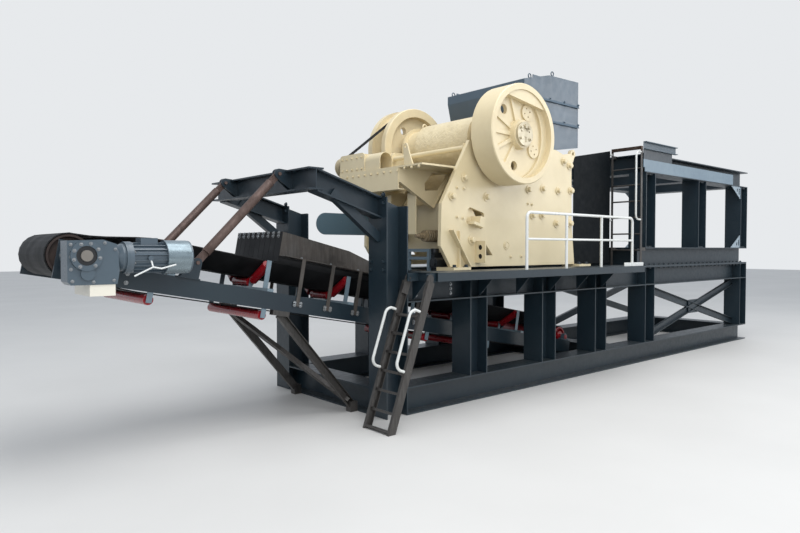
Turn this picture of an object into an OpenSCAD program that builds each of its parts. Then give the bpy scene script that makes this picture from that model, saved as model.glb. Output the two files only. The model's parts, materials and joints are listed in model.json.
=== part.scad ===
/* [Steel frame] */
// Length of the base frame
frame_l = 10870; // [10600:10:11200]
// Width of the base frame over its beams
frame_w = 2610; // [2500:10:2800]
// Height of the main H beams
beam_h = 350; // [330:2:370]
// Flange width of the main H beams
beam_b = 350; // [320:2:370]
// Flange thickness of the H beams
flange_t = 19; // [14:1:24]
// Web thickness of the H beams
web_t = 12; // [8:1:18]
// Underside of the deck beams above the floor
deck_under = 1410; // [1380:5:1480]
// Height of the cross beams of the deck
deck_cross_h = 300; // [240:5:320]
// Middle of the second column
col_b_x = -3770; // [-3820:5:-3720]
// Middle of the third column
col_c_x = -2160; // [-2300:5:-2000]
// Middle of the fourth column
col_d_x = -700; // [-760:5:-640]
// Middle of the fifth column, under the feeder support
col_e_x = 965; // [900:5:1030]
// Width of the channels of the X braces
brace_w = 140; // [100:5:160]
// Depth of the channels of the X braces
brace_d = 60; // [40:2:80]

/* [Feeder support] */
// Underside of the upper long beams above the floor
upper_under = 3490; // [3400:5:3600]
// Thickness of the pale side plates
side_plate_t = 12; // [8:1:20]
// Height of the pale side plates
side_plate_h = 220; // [180:5:260]
// Height of the edge channel over the end of the feeder support
kerb_h = 140; // [100:5:160]
// Clear width between the stiles of the upright ladder
ladder_w = 575; // [540:5:590]
// Rung spacing of the upright ladder
rung_pitch = 300; // [260:5:330]
// Diameter of the ladder rungs
rung_d = 28; // [22:1:34]

/* [Walkway] */
// Left end of the walkway
walk_x0 = -5070; // [-5150:5:-5000]
// Right end of the walkway
walk_x1 = -200; // [-300:5:-100]
// Overhang of the walkway beyond the base frame
walk_out = 515; // [450:5:560]
// Height of the walkway surface above the floor
walk_z = 1800; // [1790:1:1830]
// Depth of the edge channel
edge_h = 105; // [90:1:120]
// Height of the top rail above the walkway
rail_h = 810; // [780:5:1000]
// Diameter of the rail pipes
rail_d = 42; // [34:1:50]
// Length of the lower ladder from its pin to the floor
low_ladder_l = 1840; // [1805:1:1850]
// Number of steps of the lower ladder
low_steps = 6; // [5:1:7]

/* [Gantry] */
// Height of the knee of the gantry above the floor
knee_z = 3000; // [2950:5:3060]
// Reach of the gantry beyond the end of the base frame
knee_reach = 960; // [900:5:1000]
// Height of the gantry beams
gantry_h = 250; // [220:2:270]
// Flange width of the gantry beams
gantry_b = 200; // [160:2:220]
// Diameter of the tie rod pipes
tie_d = 102; // [80:1:110]

/* [Conveyor] */
// Slope of the conveyor in degrees
conv_tilt = 10.76; // [10.5:0.02:10.9]
// Distance between the drum axes
conv_l = 8057; // [8000:1:8100]
// Height of the tail drum axis above the floor
tail_z = 521; // [510:1:540]
// Place of the tail drum axis along the plant
tail_x = -855; // [-880:1:-830]
// Diameter of the head drum
head_d = 400; // [380:2:420]
// Diameter of the tail drum
tail_d = 320; // [300:2:340]
// Length of the drums
drum_l = 1150; // [1140:2:1180]
// Width of the conveyor belt
belt_w = 1130; // [1050:2:1140]
// Thickness of the conveyor belt
belt_t = 12; // [8:1:16]
// Depth of the side channels
stringer_h = 200; // [180:2:220]
// Distance over the side channels
conv_w = 1420; // [1400:2:1460]
// Diameter of the rollers
roller_d = 108; // [89:1:120]
// Angle of the wing rollers in degrees
trough_a = 35; // [30:1:38]
// Spacing of the carrying rollers
idler_pitch = 1176; // [1150:2:1200]
// Spacing of the return rollers
return_pitch = 1313; // [1300:1:1325]
// Length of the skirts over the loading part of the belt
skirt_l = 2345; // [2300:5:2400]
// Diameter of the head drum shaft
drum_shaft_d = 100; // [80:2:110]

/* [Crusher] */
// Distance over the side plates
crusher_w = 1740; // [1700:5:1760]
// Thickness of the side plates
cheek_t = 60; // [45:1:70]
// Place of the flywheel axis along the plant
axis_x = -2865; // [-2885:1:-2845]
// Height of the flywheel axis above the floor
axis_z = 3760; // [3740:1:3780]
// Diameter of the flywheels
wheel_d = 1460; // [1400:2:1500]
// Width of the near flywheel
wheel_w = 400; // [360:2:420]
// Radial thickness of the flywheel rim
rim_t = 90; // [70:1:110]
// Thickness of the flywheel web
wheel_web_t = 60; // [40:1:80]
// Diameter of the shaft in its bearings
shaft_d = 320; // [280:2:340]
// Diameter of the pitman barrel
barrel_d = 780; // [720:2:820]
// Width of the grooved far flywheel
pulley_w = 450; // [420:2:480]
// Number of V grooves
groove_n = 6; // [5:1:7]
// Number of V-belts in place
vbelt_n = 2; // [1:1:3]
// Diameter of the small drive sheave
sheave_d = 320; // [280:2:340]
// Opening between the jaws at the top
jaw_gape = 960; // [900:5:1000]
// Setting between the jaws at the bottom
jaw_set = 220; // [180:5:240]
// Thickness of the jaw plates
jaw_t = 90; // [70:1:100]

/* [Drive shelf] */
// Top of the shelf above the floor
shelf_top = 3260; // [3230:5:3300]
// Lower edge of the front of the shelf
shelf_low = 2930; // [2900:5:2970]
// Front of the shelf along the plant
shelf_front = -4446; // [-4480:2:-4420]

/* [Hood and chute] */
// Thickness of the hood plates
hood_t = 12; // [8:1:20]
// Top of the hood above the floor
hood_top = 4940; // [4800:5:5050]

/* [Fits] */
// Radial clearance of a shaft in its bearing
run_fit = 0.08; // [0.05:0.01:0.10]
// Gap between pieces that seat on each other
seat = 0.3; // [0.2:0.1:0.5]
// Gap between a turning piece and a belt round it
turn_gap = 5; // [5:0.5:8]

/* [Hidden] */

slate = [0.20, 0.26, 0.31];
pale_slate = [0.45, 0.53, 0.60];
cream = [0.87, 0.81, 0.66];
bare_steel = [0.42, 0.40, 0.38];
rust_brown = [0.36, 0.25, 0.20];
white_paint = [0.90, 0.90, 0.88];
roller_red = [0.55, 0.08, 0.10];
belt_black = [0.09, 0.10, 0.13];
gear_grey = [0.42, 0.47, 0.51];

side_y = (frame_w - beam_b) / 2;
inner_y = frame_w / 2 - beam_b;
edge_y = frame_w / 2;
deck_top = deck_under + beam_h;
end_x = (frame_l - beam_h) / 2;
col_m_x = (col_e_x + end_x) / 2;
upper_top = upper_under + beam_h;
inner_columns = [col_b_x, col_c_x, col_d_x, col_e_x, end_x];
head_x = tail_x - conv_l * cos(conv_tilt);
head_z = tail_z + conv_l * sin(conv_tilt);
round_n = 48;

// Beams, bars and pipes that several pieces share

module h_section(h, b) {
  square([web_t, h], center = true);
  for (s = [-1, 1])
    translate([0, s * (h - flange_t) / 2])
      square([b, flange_t], center = true);
}

module beam_x(x0, x1, y, z, h, b) {
  translate([x0, y, z + h / 2])
    rotate([90, 0, 90])
      linear_extrude(x1 - x0)
        h_section(h, b);
}

module beam_y(x, y0, y1, z, h, b) {
  translate([x, y1, z + h / 2])
    rotate([90, 0, 0])
      linear_extrude(y1 - y0)
        h_section(h, b);
}

// A cross beam whose web runs on between the flanges of the long beams, welded or with a gap all round
module cross_beam(x, z, h, gap = 0) {
  beam_y(x, -inner_y + gap, inner_y - gap, z, h, beam_b);
  translate([x - web_t / 2, -side_y + web_t / 2 + gap, z + flange_t + gap])
    cube([web_t, 2 * (side_y - gap) - web_t, h - 2 * (flange_t + gap)]);
}

module column(x, y, z0, z1) {
  translate([x, y, z0])
    linear_extrude(z1 - z0)
      rotate(90)
        h_section(beam_h, beam_b);
}

// A flat bar from point a to point b in the XZ plane, with its middle plane at y
module bar_xz(a, b, y, wide, thick) {
  run = b - a;
  long = norm(run);
  translate([a[0], y, a[1]])
    rotate([0, -atan2(run[1], run[0]), 0])
      translate([0, -thick / 2, -wide / 2])
        cube([long, thick, wide]);
}

// A channel from point a to point b in the XZ plane that opens towards +Y or -Y
module channel_xz(a, b, y, wide, deep, wall, open_side) {
  run = b - a;
  long = norm(run);
  translate([a[0], y, a[1]])
    rotate([0, -atan2(run[1], run[0]), 0])
      difference() {
        translate([0, -deep / 2, -wide / 2])
          cube([long, deep, wide]);
        translate([-1, -deep / 2 + open_side * wall, -wide / 2 + wall])
          cube([long + 2, deep, wide - 2 * wall]);
      }
}

module plate_xz(points, y0, y1) {
  translate([0, y1, 0])
    rotate([90, 0, 0])
      linear_extrude(y1 - y0)
        polygon(points);
}

module rod_y(x, z, y0, y1, r) {
  translate([x, y0, z])
    rotate([-90, 0, 0])
      cylinder(h = y1 - y0, r = r, $fn = round_n);
}

module rod_x(x0, x1, y, z, r) {
  translate([x0, y, z])
    rotate([0, 90, 0])
      cylinder(h = x1 - x0, r = r, $fn = round_n);
}

module rod_z(x, y, z0, z1, r) {
  translate([x, y, z0])
    cylinder(h = z1 - z0, r = r, $fn = round_n);
}

// Base frame on the floor

base_cross_x = [-end_x, 0, end_x];

module base_beams() color(slate) {
  for (s = [-1, 1])
    beam_x(-frame_l / 2 + beam_h, frame_l / 2, s * side_y, 0, beam_h, beam_b);
  for (x = base_cross_x)
    cross_beam(x, 0, beam_h);
}

module columns() color(slate) {
  for (s = [-1, 1]) {
    column(-end_x, s * side_y, 0, deck_top);
    for (x = inner_columns)
      column(x, s * side_y, beam_h, deck_under);
  }
}

// Deck beams with stiffeners over the flanges of each column
module deck_beams() color(slate) {
  for (s = [-1, 1]) {
    beam_x(-frame_l / 2 + beam_h, frame_l / 2, s * side_y, deck_under, beam_h, beam_b);
    for (x = inner_columns)
      for (t = [-1, 1])
        translate([x + t * (beam_h - flange_t) / 2 - web_t / 2,
                   s * (side_y + beam_b / 4) - beam_b / 4, deck_under + flange_t])
          cube([web_t, beam_b / 2, beam_h - 2 * flange_t]);
  }
  for (x = [col_b_x, col_d_x, col_e_x, col_m_x, end_x])
    cross_beam(x, deck_top - deck_cross_h, deck_cross_h, seat);
}

brace_wall = 10;
gusset_l = 420;
brace_corner = 40;

// Channels that cross the long bay from corner to corner and end flat on its sides
module frame_braces() color(slate) {
  left = col_e_x + beam_h / 2 + seat;
  right = end_x - beam_h / 2 - seat;
  low = beam_h + seat;
  high = deck_under - seat;
  middle = [(left + right) / 2, (low + high) / 2];
  for (s = [-1, 1]) {
    intersection() {
      union() {
        channel_xz([left - brace_w, low + brace_corner], [right + brace_w, high - brace_corner],
                   s * side_y, brace_w, brace_d, brace_wall, s);
        channel_xz([left - brace_w, high - brace_corner], [right + brace_w, low + brace_corner],
                   s * side_y, brace_w, brace_d, brace_wall, s);
      }
      translate([left, s * side_y - brace_d, low])
        cube([right - left, 2 * brace_d, high - low]);
    }
    translate([middle[0] - gusset_l / 2, s * side_y - brace_wall / 2, middle[1] - brace_w])
      cube([gusset_l, brace_wall, 2 * brace_w]);
  }
}

deck_plate_t = 6;
foot_y0 = 640;

module deck_plates() color(pale_slate) {
  for (s = [-1, 1])
    translate([-frame_l / 2 + beam_h + seat, s > 0 ? 1000 : -edge_y, deck_top + seat])
      cube([col_e_x + frame_l / 2 - 3 * beam_h / 2 - 2 * seat, edge_y - 1000, deck_plate_t]);
  pipe_stand();
}

stand_y = [-460, 20];
stand_h = 325;
stand_bar = 45;

// Low stand on the cross beam behind the crusher
module pipe_stand() {
  x = col_b_x - beam_b / 2 + 20;
  for (y = [stand_y[0], stand_y[1] - stand_bar])
    translate([x, y, deck_top + seat])
      cube([stand_bar, stand_bar, stand_h]);
  for (z = [stand_h - stand_bar, stand_h / 2])
    translate([x, stand_y[0], deck_top + seat + z])
      cube([stand_bar, stand_y[1] - stand_y[0], stand_bar]);
}

// Walkway carried outside the near deck beam

edge_b = 50;
edge_wall = 6;
walk_y = -edge_y - walk_out;
arm_xs = [walk_x0 + 60, col_b_x, (col_b_x + col_c_x) / 2, col_c_x, (col_c_x + col_d_x) / 2, col_d_x];
pin_z = walk_z - 70;
pin_r = 12;
pin_x = walk_x0 - 110;
lug_t = 16;

module walkway() color(slate) {
  difference() {
    translate([walk_x0, walk_y, walk_z - edge_h])
      cube([walk_x1 - walk_x0, edge_b, edge_h]);
    translate([walk_x0 - 1, walk_y + edge_wall, walk_z - edge_h + edge_wall])
      cube([walk_x1 - walk_x0 + 2, edge_b, edge_h - 2 * edge_wall]);
  }
  translate([walk_x0, walk_y, walk_z - deck_plate_t])
    cube([walk_x1 - walk_x0, walk_out - seat, deck_plate_t]);
  for (x = arm_xs) {
    translate([x - 30, walk_y + edge_wall, walk_z - edge_h])
      cube([60, walk_out - edge_wall - seat, edge_h - deck_plate_t]);
    translate([x + 5, 0, 0])
      rotate([0, -90, 0])
        linear_extrude(10)
          polygon([[walk_z - edge_h, -edge_y - seat], [deck_under + 20, -edge_y - seat],
                   [walk_z - edge_h, -edge_y - walk_out / 2]]);
  }
  for (y = [low_y0 + 60, low_y1 - 60 - lug_t])
    difference() {
      translate([pin_x - 40, y, pin_z - 40])
        cube([walk_x0 - pin_x + 140, lug_t, walk_z - deck_plate_t - pin_z + 40]);
      rod_y(pin_x, pin_z, y - 1, y + lug_t + 1, pin_r + seat);
    }
}

rail_y = walk_y + 30;
rail_bend = 80;
mid_rail_z = walk_z + rail_h * 0.52;
rail_x0 = -3345;
rail_x1 = -565;
rail_posts = 4;
toe_h = 60;

module handrail() color(white_paint) {
  top = walk_z + rail_h - rail_d / 2;
  rod_x(rail_x0 + rail_bend, rail_x1 - rail_bend, rail_y, top, rail_d / 2);
  for (s = [-1, 1]) {
    x = s < 0 ? rail_x0 : rail_x1;
    rod_z(x, rail_y, walk_z + seat, top - rail_bend, rail_d / 2);
    translate([x - s * rail_bend, rail_y, top - rail_bend])
      rotate([90, 0, 0])
        rotate([0, 0, s > 0 ? 0 : 90])
          rotate_extrude(angle = 90, $fn = round_n)
            translate([rail_bend, 0])
              circle(r = rail_d / 2, $fn = 24);
  }
  for (i = [1 : rail_posts - 2])
    rod_z(rail_x0 + i * (rail_x1 - rail_x0) / (rail_posts - 1), rail_y, walk_z + seat, top, rail_d / 2);
  rod_x(rail_x0, rail_x1, rail_y, mid_rail_z, rail_d / 2 - 4);
  translate([rail_x1 - 240, rail_y - 3, walk_z + seat])
    cube([walk_x1 - rail_x1 + 240, 6, toe_h]);
}

// Lower ladder, hung on pins at the end of the walkway

low_y0 = walk_y - 25;
low_y1 = low_y0 + 470;
stile_d = 100;
stile_b = 40;
stile_wall = 6;
low_lean = acos(pin_z / low_ladder_l);
step_pitch = low_ladder_l / (low_steps + 2);

module in_ladder() {
  translate([pin_x, 0, pin_z])
    rotate([0, low_lean, 0])
      children();
}

module lower_ladder() color(bare_steel) intersection() {
  in_ladder() {
    for (s = [0, 1])
      difference() {
        translate([-stile_d / 2, s ? low_y1 - stile_b : low_y0, -low_ladder_l - 60])
          cube([stile_d, stile_b, low_ladder_l + 20]);
        translate([-stile_d / 2 + stile_wall, s ? low_y1 - stile_b - stile_wall : low_y0 + stile_wall,
                   -low_ladder_l - 61])
          cube([stile_d - 2 * stile_wall, stile_b, low_ladder_l + 22]);
      }
    for (i = [1 : low_steps])
      translate([-20, low_y0 + stile_wall, -low_ladder_l + i * step_pitch - 20])
        cube([40, low_y1 - low_y0 - 2 * stile_wall, 30]);
    translate([-stile_d / 2, low_y0 + stile_wall, -low_ladder_l + 5])
      cube([stile_d, low_y1 - low_y0 - 2 * stile_wall, 30]);
    for (y = [low_y0 + stile_b - 6, low_y1 - stile_b - lug_t + 6]) {
      translate([-stile_d / 2, y, -200])
        cube([stile_d, lug_t, 200]);
      rod_y(0, 0, y, y + lug_t, stile_d / 2);
    }
    for (y = [low_y0 + stile_b, low_y1 - stile_b - 40])
      rod_y(0, 0, y, y + 40, pin_r);
  }
  translate([pin_x - low_ladder_l, low_y0 - 100, 0])
    cube([2 * low_ladder_l, 700, walk_z + 100]);
}

handle_r = 17;
handle_out = 190;
handle_bend = 90;

// A grab handle: a straight grip that stands off the stile on two bends
module handle(y, z0, z1, half_stile) {
  for (s = [0, 1]) {
    z = s ? z1 : z0;
    translate([-handle_out, y, z])
      rod_x(handle_bend, handle_out - half_stile - seat, 0, 0, handle_r);
    translate([-handle_out + handle_bend, y, z + (s ? -handle_bend : handle_bend)])
      rotate([90, 0, 0])
        rotate([0, 0, s ? 90 : 180])
          rotate_extrude(angle = 90, $fn = round_n)
            translate([handle_bend, 0])
              circle(r = handle_r, $fn = 24);
  }
  rod_z(-handle_out, y, z0 + handle_bend, z1 - handle_bend, handle_r);
}

// Gantry over the conveyor

gantry_x = -frame_l / 2 - knee_reach;
gantry_drop = 260;
gantry_foot = 450;
gantry_start = 20;
gantry_tip = 6;
gantry_a = atan2(gantry_drop, 880);
lug_y = 692;
lug_x = gantry_x - 170;
lug_z = knee_z - 45;
lug_gap = 16;
lug_plate_t = 20;
tie_pin_r = 20;
eye_r = 50;
tie_tail = 6852;
tie_low = [conv_l - tie_tail, 142];

module gantry_beam_line(y) {
  translate([gantry_x, y, knee_z])
    rotate([0, gantry_a, 0])
      translate([-40, 0, -gantry_h / 2])
        rotate([90, 0, 90])
          linear_extrude((knee_reach + beam_h) / cos(gantry_a) + 40)
            h_section(gantry_h, gantry_b);
}

module gantry() color(slate) {
  for (s = [-1, 1]) {
    intersection() {
      gantry_beam_line(s * side_y);
      translate([gantry_x + gantry_start, s * side_y - beam_b, deck_top])
        cube([knee_reach - gantry_start + flange_t / 2, 2 * beam_b, knee_z]);
    }
    difference() {
      column(-end_x, s * side_y, deck_top, knee_z);
      translate([gantry_x, s * side_y - beam_b, knee_z])
        rotate([0, gantry_a, 0])
          cube([2 * knee_reach, 2 * beam_b, knee_reach]);
    }
    bar_xz([-frame_l / 2 + 10, deck_top + gantry_foot], [gantry_x + 260, knee_z - 260], s * side_y,
           110, 90);
    for (t = [-1, 1])
      translate([0, s * lug_y + t * (lug_gap + lug_plate_t / 2) + lug_plate_t / 2, 0])
        rotate([90, 0, 0])
          linear_extrude(lug_plate_t)
            difference() {
              union() {
                polygon([[gantry_x + 20, knee_z - gantry_h], [gantry_x + 20, knee_z],
                         [lug_x, lug_z + 60], [lug_x - 20, lug_z - 57]]);
                translate([lug_x, lug_z])
                  circle(r = 60, $fn = round_n);
              }
              translate([lug_x, lug_z])
                circle(r = tie_pin_r + seat, $fn = round_n);
            }
  }
  beam_y(gantry_x, -side_y - gantry_b / 2 - gantry_tip, side_y + gantry_b / 2 + gantry_tip,
         knee_z - gantry_h, gantry_h, gantry_b);
}

function to_world(p) = [head_x + p[0] * cos(conv_tilt) + p[1] * sin(conv_tilt),
                        head_z - p[0] * sin(conv_tilt) + p[1] * cos(conv_tilt)];

module in_conveyor() {
  translate([head_x, 0, head_z])
    rotate([0, conv_tilt, 0])
      children();
}

module tie_rods() color(rust_brown) {
  low = to_world(tie_low);
  high = [lug_x, lug_z];
  run = high - low;
  long = norm(run);
  for (s = [-1, 1])
    translate([low[0], s * lug_y, low[1]])
      rotate([0, 90 - atan2(run[1], run[0]), 0]) {
        for (z = [0, long]) {
          rod_y(0, z, -lug_gap + seat, lug_gap - seat, eye_r);
          rod_y(0, z, -lug_gap - lug_plate_t - 14, lug_gap + lug_plate_t + 14, tie_pin_r);
        }
        for (z = [0, long - 200])
          translate([-40, -lug_gap + seat, z])
            cube([80, 2 * (lug_gap - seat), 200]);
        rod_z(0, 0, 150, long - 150, tie_d / 2);
      }
}

// Feeder support frame

module upper_posts() color(slate) {
  for (s = [-1, 1])
    for (x = [col_e_x, col_m_x, end_x])
      column(x, s * side_y, deck_top + beam_h, upper_under);
}

module upper_beams() color(slate) {
  for (z = [deck_top, upper_under]) {
    for (s = [-1, 1])
      beam_x(col_e_x - beam_h / 2, frame_l / 2, s * side_y, z, beam_h, beam_b);
    for (x = z > deck_top ? [col_e_x, col_m_x, end_x] : [col_e_x, end_x])
      cross_beam(x, z, beam_h);
  }
}

corner_l = 490;
corner_h = 280;
side_x0 = col_e_x - 250;
side_x1 = 4595;
side_rise_x = side_x0 + 565;
side_end_h = 85;
slot_w = 60;
slot_step = 105;
kerb_x0 = col_e_x - 300;
kerb_x1 = kerb_x0 + 1220;
kerb_plate_x1 = kerb_x0 + 1075;
kerb_b = 60;
kerb_lift = 65;

module corner_gusset(flip) {
  mirror([0, 0, flip])
    translate([0, 6, 0])
      rotate([90, 0, 0])
        linear_extrude(12)
          difference() {
            polygon([[0, 0], [-corner_l, 0], [0, corner_h]]);
            for (i = [0, 1])
              translate([-100 - i * slot_step, 45])
                square([slot_w, corner_h * (1 - (100 + i * slot_step) / corner_l) - 90]);
          }
}

// Edge channel on a plate over the end of the feeder support
module end_kerb(s) {
  top = upper_top + kerb_lift + kerb_h;
  plate_xz([[kerb_x0, upper_under + side_end_h], [kerb_x0, top], [kerb_x1, top],
            [kerb_x1, upper_top + kerb_lift], [kerb_plate_x1, upper_top + kerb_lift],
            [kerb_plate_x1, upper_under + side_plate_h], [side_rise_x, upper_under + side_plate_h]],
           s > 0 ? edge_y + seat : -edge_y - seat - side_plate_t,
           s > 0 ? edge_y + seat + side_plate_t : -edge_y - seat);
  for (z = [upper_top + kerb_lift, top - side_plate_t])
    translate([kerb_x0, s > 0 ? edge_y + seat : -edge_y - seat - kerb_b, z])
      cube([kerb_x1 - kerb_x0, kerb_b, side_plate_t]);
}

module feeder_plates() color(pale_slate) {
  for (s = [-1, 1]) {
    plate_y = s > 0 ? edge_y + seat : -edge_y - seat - side_plate_t;
    plate_xz([[side_x0, upper_under + 15], [side_x0, upper_under + side_end_h + 15],
              [side_rise_x, upper_under + 15 + side_plate_h], [side_x1, upper_under + 15 + side_plate_h],
              [side_x1, upper_under + 15]],
             plate_y, plate_y + side_plate_t);
    end_kerb(s);
    translate([end_x - beam_h / 2 - seat, s * (edge_y - 20), deck_top + beam_h + seat])
      corner_gusset(0);
    translate([end_x - beam_h / 2 - seat, s * (edge_y - 20), upper_under - seat])
      corner_gusset(1);
  }
}

up_x = col_e_x - beam_h / 2 - 160;
up_stile = 12;
up_half = 30;
up_y = -edge_y + ladder_w / 2 + up_stile + 5;
up_top = upper_top + 65;

// Upright ladder on the left end of the feeder support
module upper_ladder() color(bare_steel) {
  for (s = [-1, 1]) {
    translate([up_x - up_half, up_y + s * (ladder_w + up_stile) / 2 - up_stile / 2,
               deck_top + deck_plate_t + 2 * seat])
      cube([2 * up_half, up_stile, up_top - deck_top - deck_plate_t - 2 * seat]);
    for (z = [deck_top + beam_h - 60, upper_top - 60])
      translate([up_x + up_half, up_y + s * (ladder_w + up_stile) / 2 - up_stile / 2, z])
        cube([160 - up_half - seat, up_stile, 60]);
  }
  translate([up_x - up_half, up_y - ladder_w / 2 - up_stile, up_top])
    cube([2 * up_half, ladder_w + 2 * up_stile, 55]);
  for (z = [deck_top + rung_pitch : rung_pitch : upper_top])
    rod_y(up_x, z, up_y - ladder_w / 2 - up_stile / 2, up_y + ladder_w / 2 + up_stile / 2, rung_d / 2);
}

grab_low = 860;
grab_high = 2090;

// White grab rails beside the upright ladder and grab handles on the lower one
module grab_rails() color(white_paint) {
  in_ladder()
    for (y = [low_y0 + stile_b / 2, low_y1 - stile_b / 2])
      handle(y, -low_ladder_l + 3.1 * step_pitch, -low_ladder_l + 6.2 * step_pitch, stile_d / 2);
  for (s = [-1, 1])
    translate([up_x, up_y + s * (ladder_w + up_stile) / 2, deck_top])
      handle(0, grab_low, grab_high, up_half);
}

// Conveyor, modelled along its own slope from the head drum down to the tail drum

belt_under = 110;
centre_half = 200;
stringer_top = -38;
channel_b = 75;
channel_wall = 9;
web_y = conv_w / 2;
last_idler = 1221;
last_return = 2026;
trough_run = 900;
idler_n = floor((conv_l - last_idler - trough_run) / idler_pitch) + 1;
idler_xs = [for (i = [0 : idler_n - 1]) conv_l - last_idler - i * idler_pitch];
head_clear = 700;
return_n = floor((conv_l - last_return - head_clear) / return_pitch) + 1;
first_return = conv_l - last_return - (return_n - 1) * return_pitch;
// The place over the end of the base frame has no return roller
no_return = 2;
return_xs = [for (i = [0 : return_n - 1]) if (i != no_return) conv_l - last_return - i * return_pitch];
return_z = -318;
head_plate_t = 20;
tail_axis_z = 20;
head_plate_l = 420;

module stringer_channel(s) {
  difference() {
    translate([180, s > 0 ? web_y - channel_b : -web_y, stringer_top - stringer_h])
      cube([conv_l + 140 - 180, channel_b, stringer_h]);
    translate([179, s > 0 ? web_y - channel_b - channel_wall : -web_y + channel_wall,
               stringer_top - stringer_h + channel_wall])
      cube([conv_l + 160 - 180, channel_b, stringer_h - 2 * channel_wall]);
  }
}

module conveyor_stringers() color(slate) {
  in_conveyor() {
    for (s = [-1, 1]) {
      stringer_channel(s);
      difference() {
        plate_xz([[-140, stringer_top - stringer_h], [head_plate_l, stringer_top - stringer_h],
                  [head_plate_l, stringer_top], [180, 130], [-140, 130]],
                 s > 0 ? web_y - head_plate_t : -web_y, s > 0 ? web_y : -web_y + head_plate_t);
        rod_y(0, 0, -web_y - 1, web_y + 1, drum_shaft_d / 2 + turn_gap);
      }
      for (t = [-1, 1])
        translate([0, s * lug_y + t * (lug_gap + lug_plate_t / 2) + lug_plate_t / 2, 0])
          rotate([90, 0, 0])
            linear_extrude(lug_plate_t)
              difference() {
                union() {
                  polygon([[tie_low[0] - 170, stringer_top], [tie_low[0] + 40, stringer_top],
                           [tie_low[0] + eye_r, tie_low[1]], [tie_low[0] - eye_r, tie_low[1]]]);
                  translate(tie_low)
                    circle(r = eye_r, $fn = round_n);
                }
                translate(tie_low)
                  circle(r = tie_pin_r + seat, $fn = round_n);
              }
      translate([tie_low[0] - 190, s * lug_y - (lug_gap + lug_plate_t), stringer_top])
        cube([250, 2 * (lug_gap + lug_plate_t), 12]);
    }
    for (x = idler_xs)
      translate([x + idler_pitch / 2 - 50, -web_y + channel_wall,
                 stringer_top - stringer_h + 40])
        cube([100, conv_w - 2 * channel_wall, 10]);
  }
}

// Struts and diagonals from the end of the base frame up to the conveyor
strut_w = 100;
strut_d = 60;
strut_wall = 8;
strut_low = [-frame_l / 2 - 70, 90];
strut_y = conv_w / 2 - 40;
strut_tail = 5737;
diagonal_w = 100;
diagonal_t = 50;

module raking_braces() color(bare_steel) {
  top_x = conv_l - strut_tail;
  strut_top = to_world([top_x, stringer_top - stringer_h - 40]);
  for (s = [-1, 1]) {
    channel_xz(strut_low, strut_top, s * strut_y, strut_w, strut_d, strut_wall, s);
    translate([-frame_l / 2 - 110, s * strut_y - 50, 0])
      cube([110 - seat, 100, 130]);
    in_conveyor()
      translate([top_x - 110, s * strut_y - 40, stringer_top - stringer_h - 60])
        cube([220, 80, 60 - seat]);
  }
  low = [strut_low[0] - 20, -strut_y + strut_d / 2, strut_low[1] + 40];
  high = [strut_top[0] + 40, strut_y - strut_d / 2, strut_top[1] - 80];
  run = high - low;
  translate(low)
    rotate([0, -atan2(run[2], run[0]), 0])
      rotate([0, 0, atan2(run[1], norm([run[0], run[2]]))])
        translate([0, -diagonal_w / 2, -diagonal_t / 2])
          cube([norm(run), diagonal_w, diagonal_t]);
}

wing_l = (belt_w - 2 * centre_half) / 2;
wing_roller_l = 340;
wing_tip = 33;
centre_roller_l = 2 * centre_half - 20;
roller_r = roller_d / 2;
spindle_r = 12;
centre_roller_z = belt_under - seat - roller_r;
wing_spindle = 30 + wing_roller_l + wing_tip;
wing_start = [centre_half + (roller_r + seat) * sin(trough_a), belt_under - (roller_r + seat) * cos(trough_a)];

// One set of three rollers across the belt
module roller_set() {
  rod_y(0, centre_roller_z, -centre_roller_l / 2, centre_roller_l / 2, roller_r);
  rod_y(0, centre_roller_z, -centre_roller_l / 2 - 15, centre_roller_l / 2 + 15, spindle_r);
  for (s = [-1, 1])
    translate([0, s * wing_start[0], wing_start[1]])
      rotate([s > 0 ? trough_a : -trough_a, 0, 0]) {
        rod_y(0, 0, s > 0 ? 30 : -30 - wing_roller_l, s > 0 ? 30 + wing_roller_l : -30, roller_r);
        rod_y(0, 0, s > 0 ? 12 : -wing_spindle, s > 0 ? wing_spindle : -12, spindle_r);
      }
}

module carrying_rollers() color(roller_red) {
  in_conveyor()
    for (x = idler_xs)
      translate([x, 0, 0])
        roller_set();
}

bracket_t = 10;
wing_end = [wing_start[0] + wing_spindle * cos(trough_a) + spindle_r * sin(trough_a) + seat,
            wing_start[1] + wing_spindle * sin(trough_a)];

// Frames that hold the rollers: a base bar and four upright arms
module roller_frame() {
  base_top = centre_roller_z - roller_r - 4;
  translate([-40, -web_y + 6, stringer_top])
    cube([80, conv_w - 12, base_top - stringer_top]);
  for (s = [-1, 1]) {
    arm_y = s * (centre_roller_l / 2 + 15 + seat + bracket_t / 2);
    translate([-25, arm_y - bracket_t / 2, stringer_top])
      cube([50, bracket_t, centre_roller_z + 20 - stringer_top]);
    translate([-30, s > 0 ? wing_end[0] : -wing_end[0] - bracket_t, stringer_top])
      cube([60, bracket_t, wing_end[1] + 30 - stringer_top]);
  }
}

module idler_brackets() color(pale_slate) {
  in_conveyor() {
    for (x = idler_xs)
      translate([x, 0, 0])
        roller_frame();
    for (x = return_xs)
      for (s = [-1, 1])
        translate([x - 30, s > 0 ? web_y - 20 : -web_y + 10,
                   return_z - 30])
          cube([60, bracket_t, stringer_top - stringer_h - return_z + 30 - seat]);
  }
}

module return_rollers() color(roller_red) {
  in_conveyor()
    for (x = return_xs) {
      rod_y(x, return_z, -web_y + 40, web_y - 40, roller_r);
      rod_y(x, return_z, -web_y + 20 + seat, web_y - 20 - seat, spindle_r);
    }
}

drum_wall = 20;
drum_recess = 60;
gear_near_y = -1170;

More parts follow.
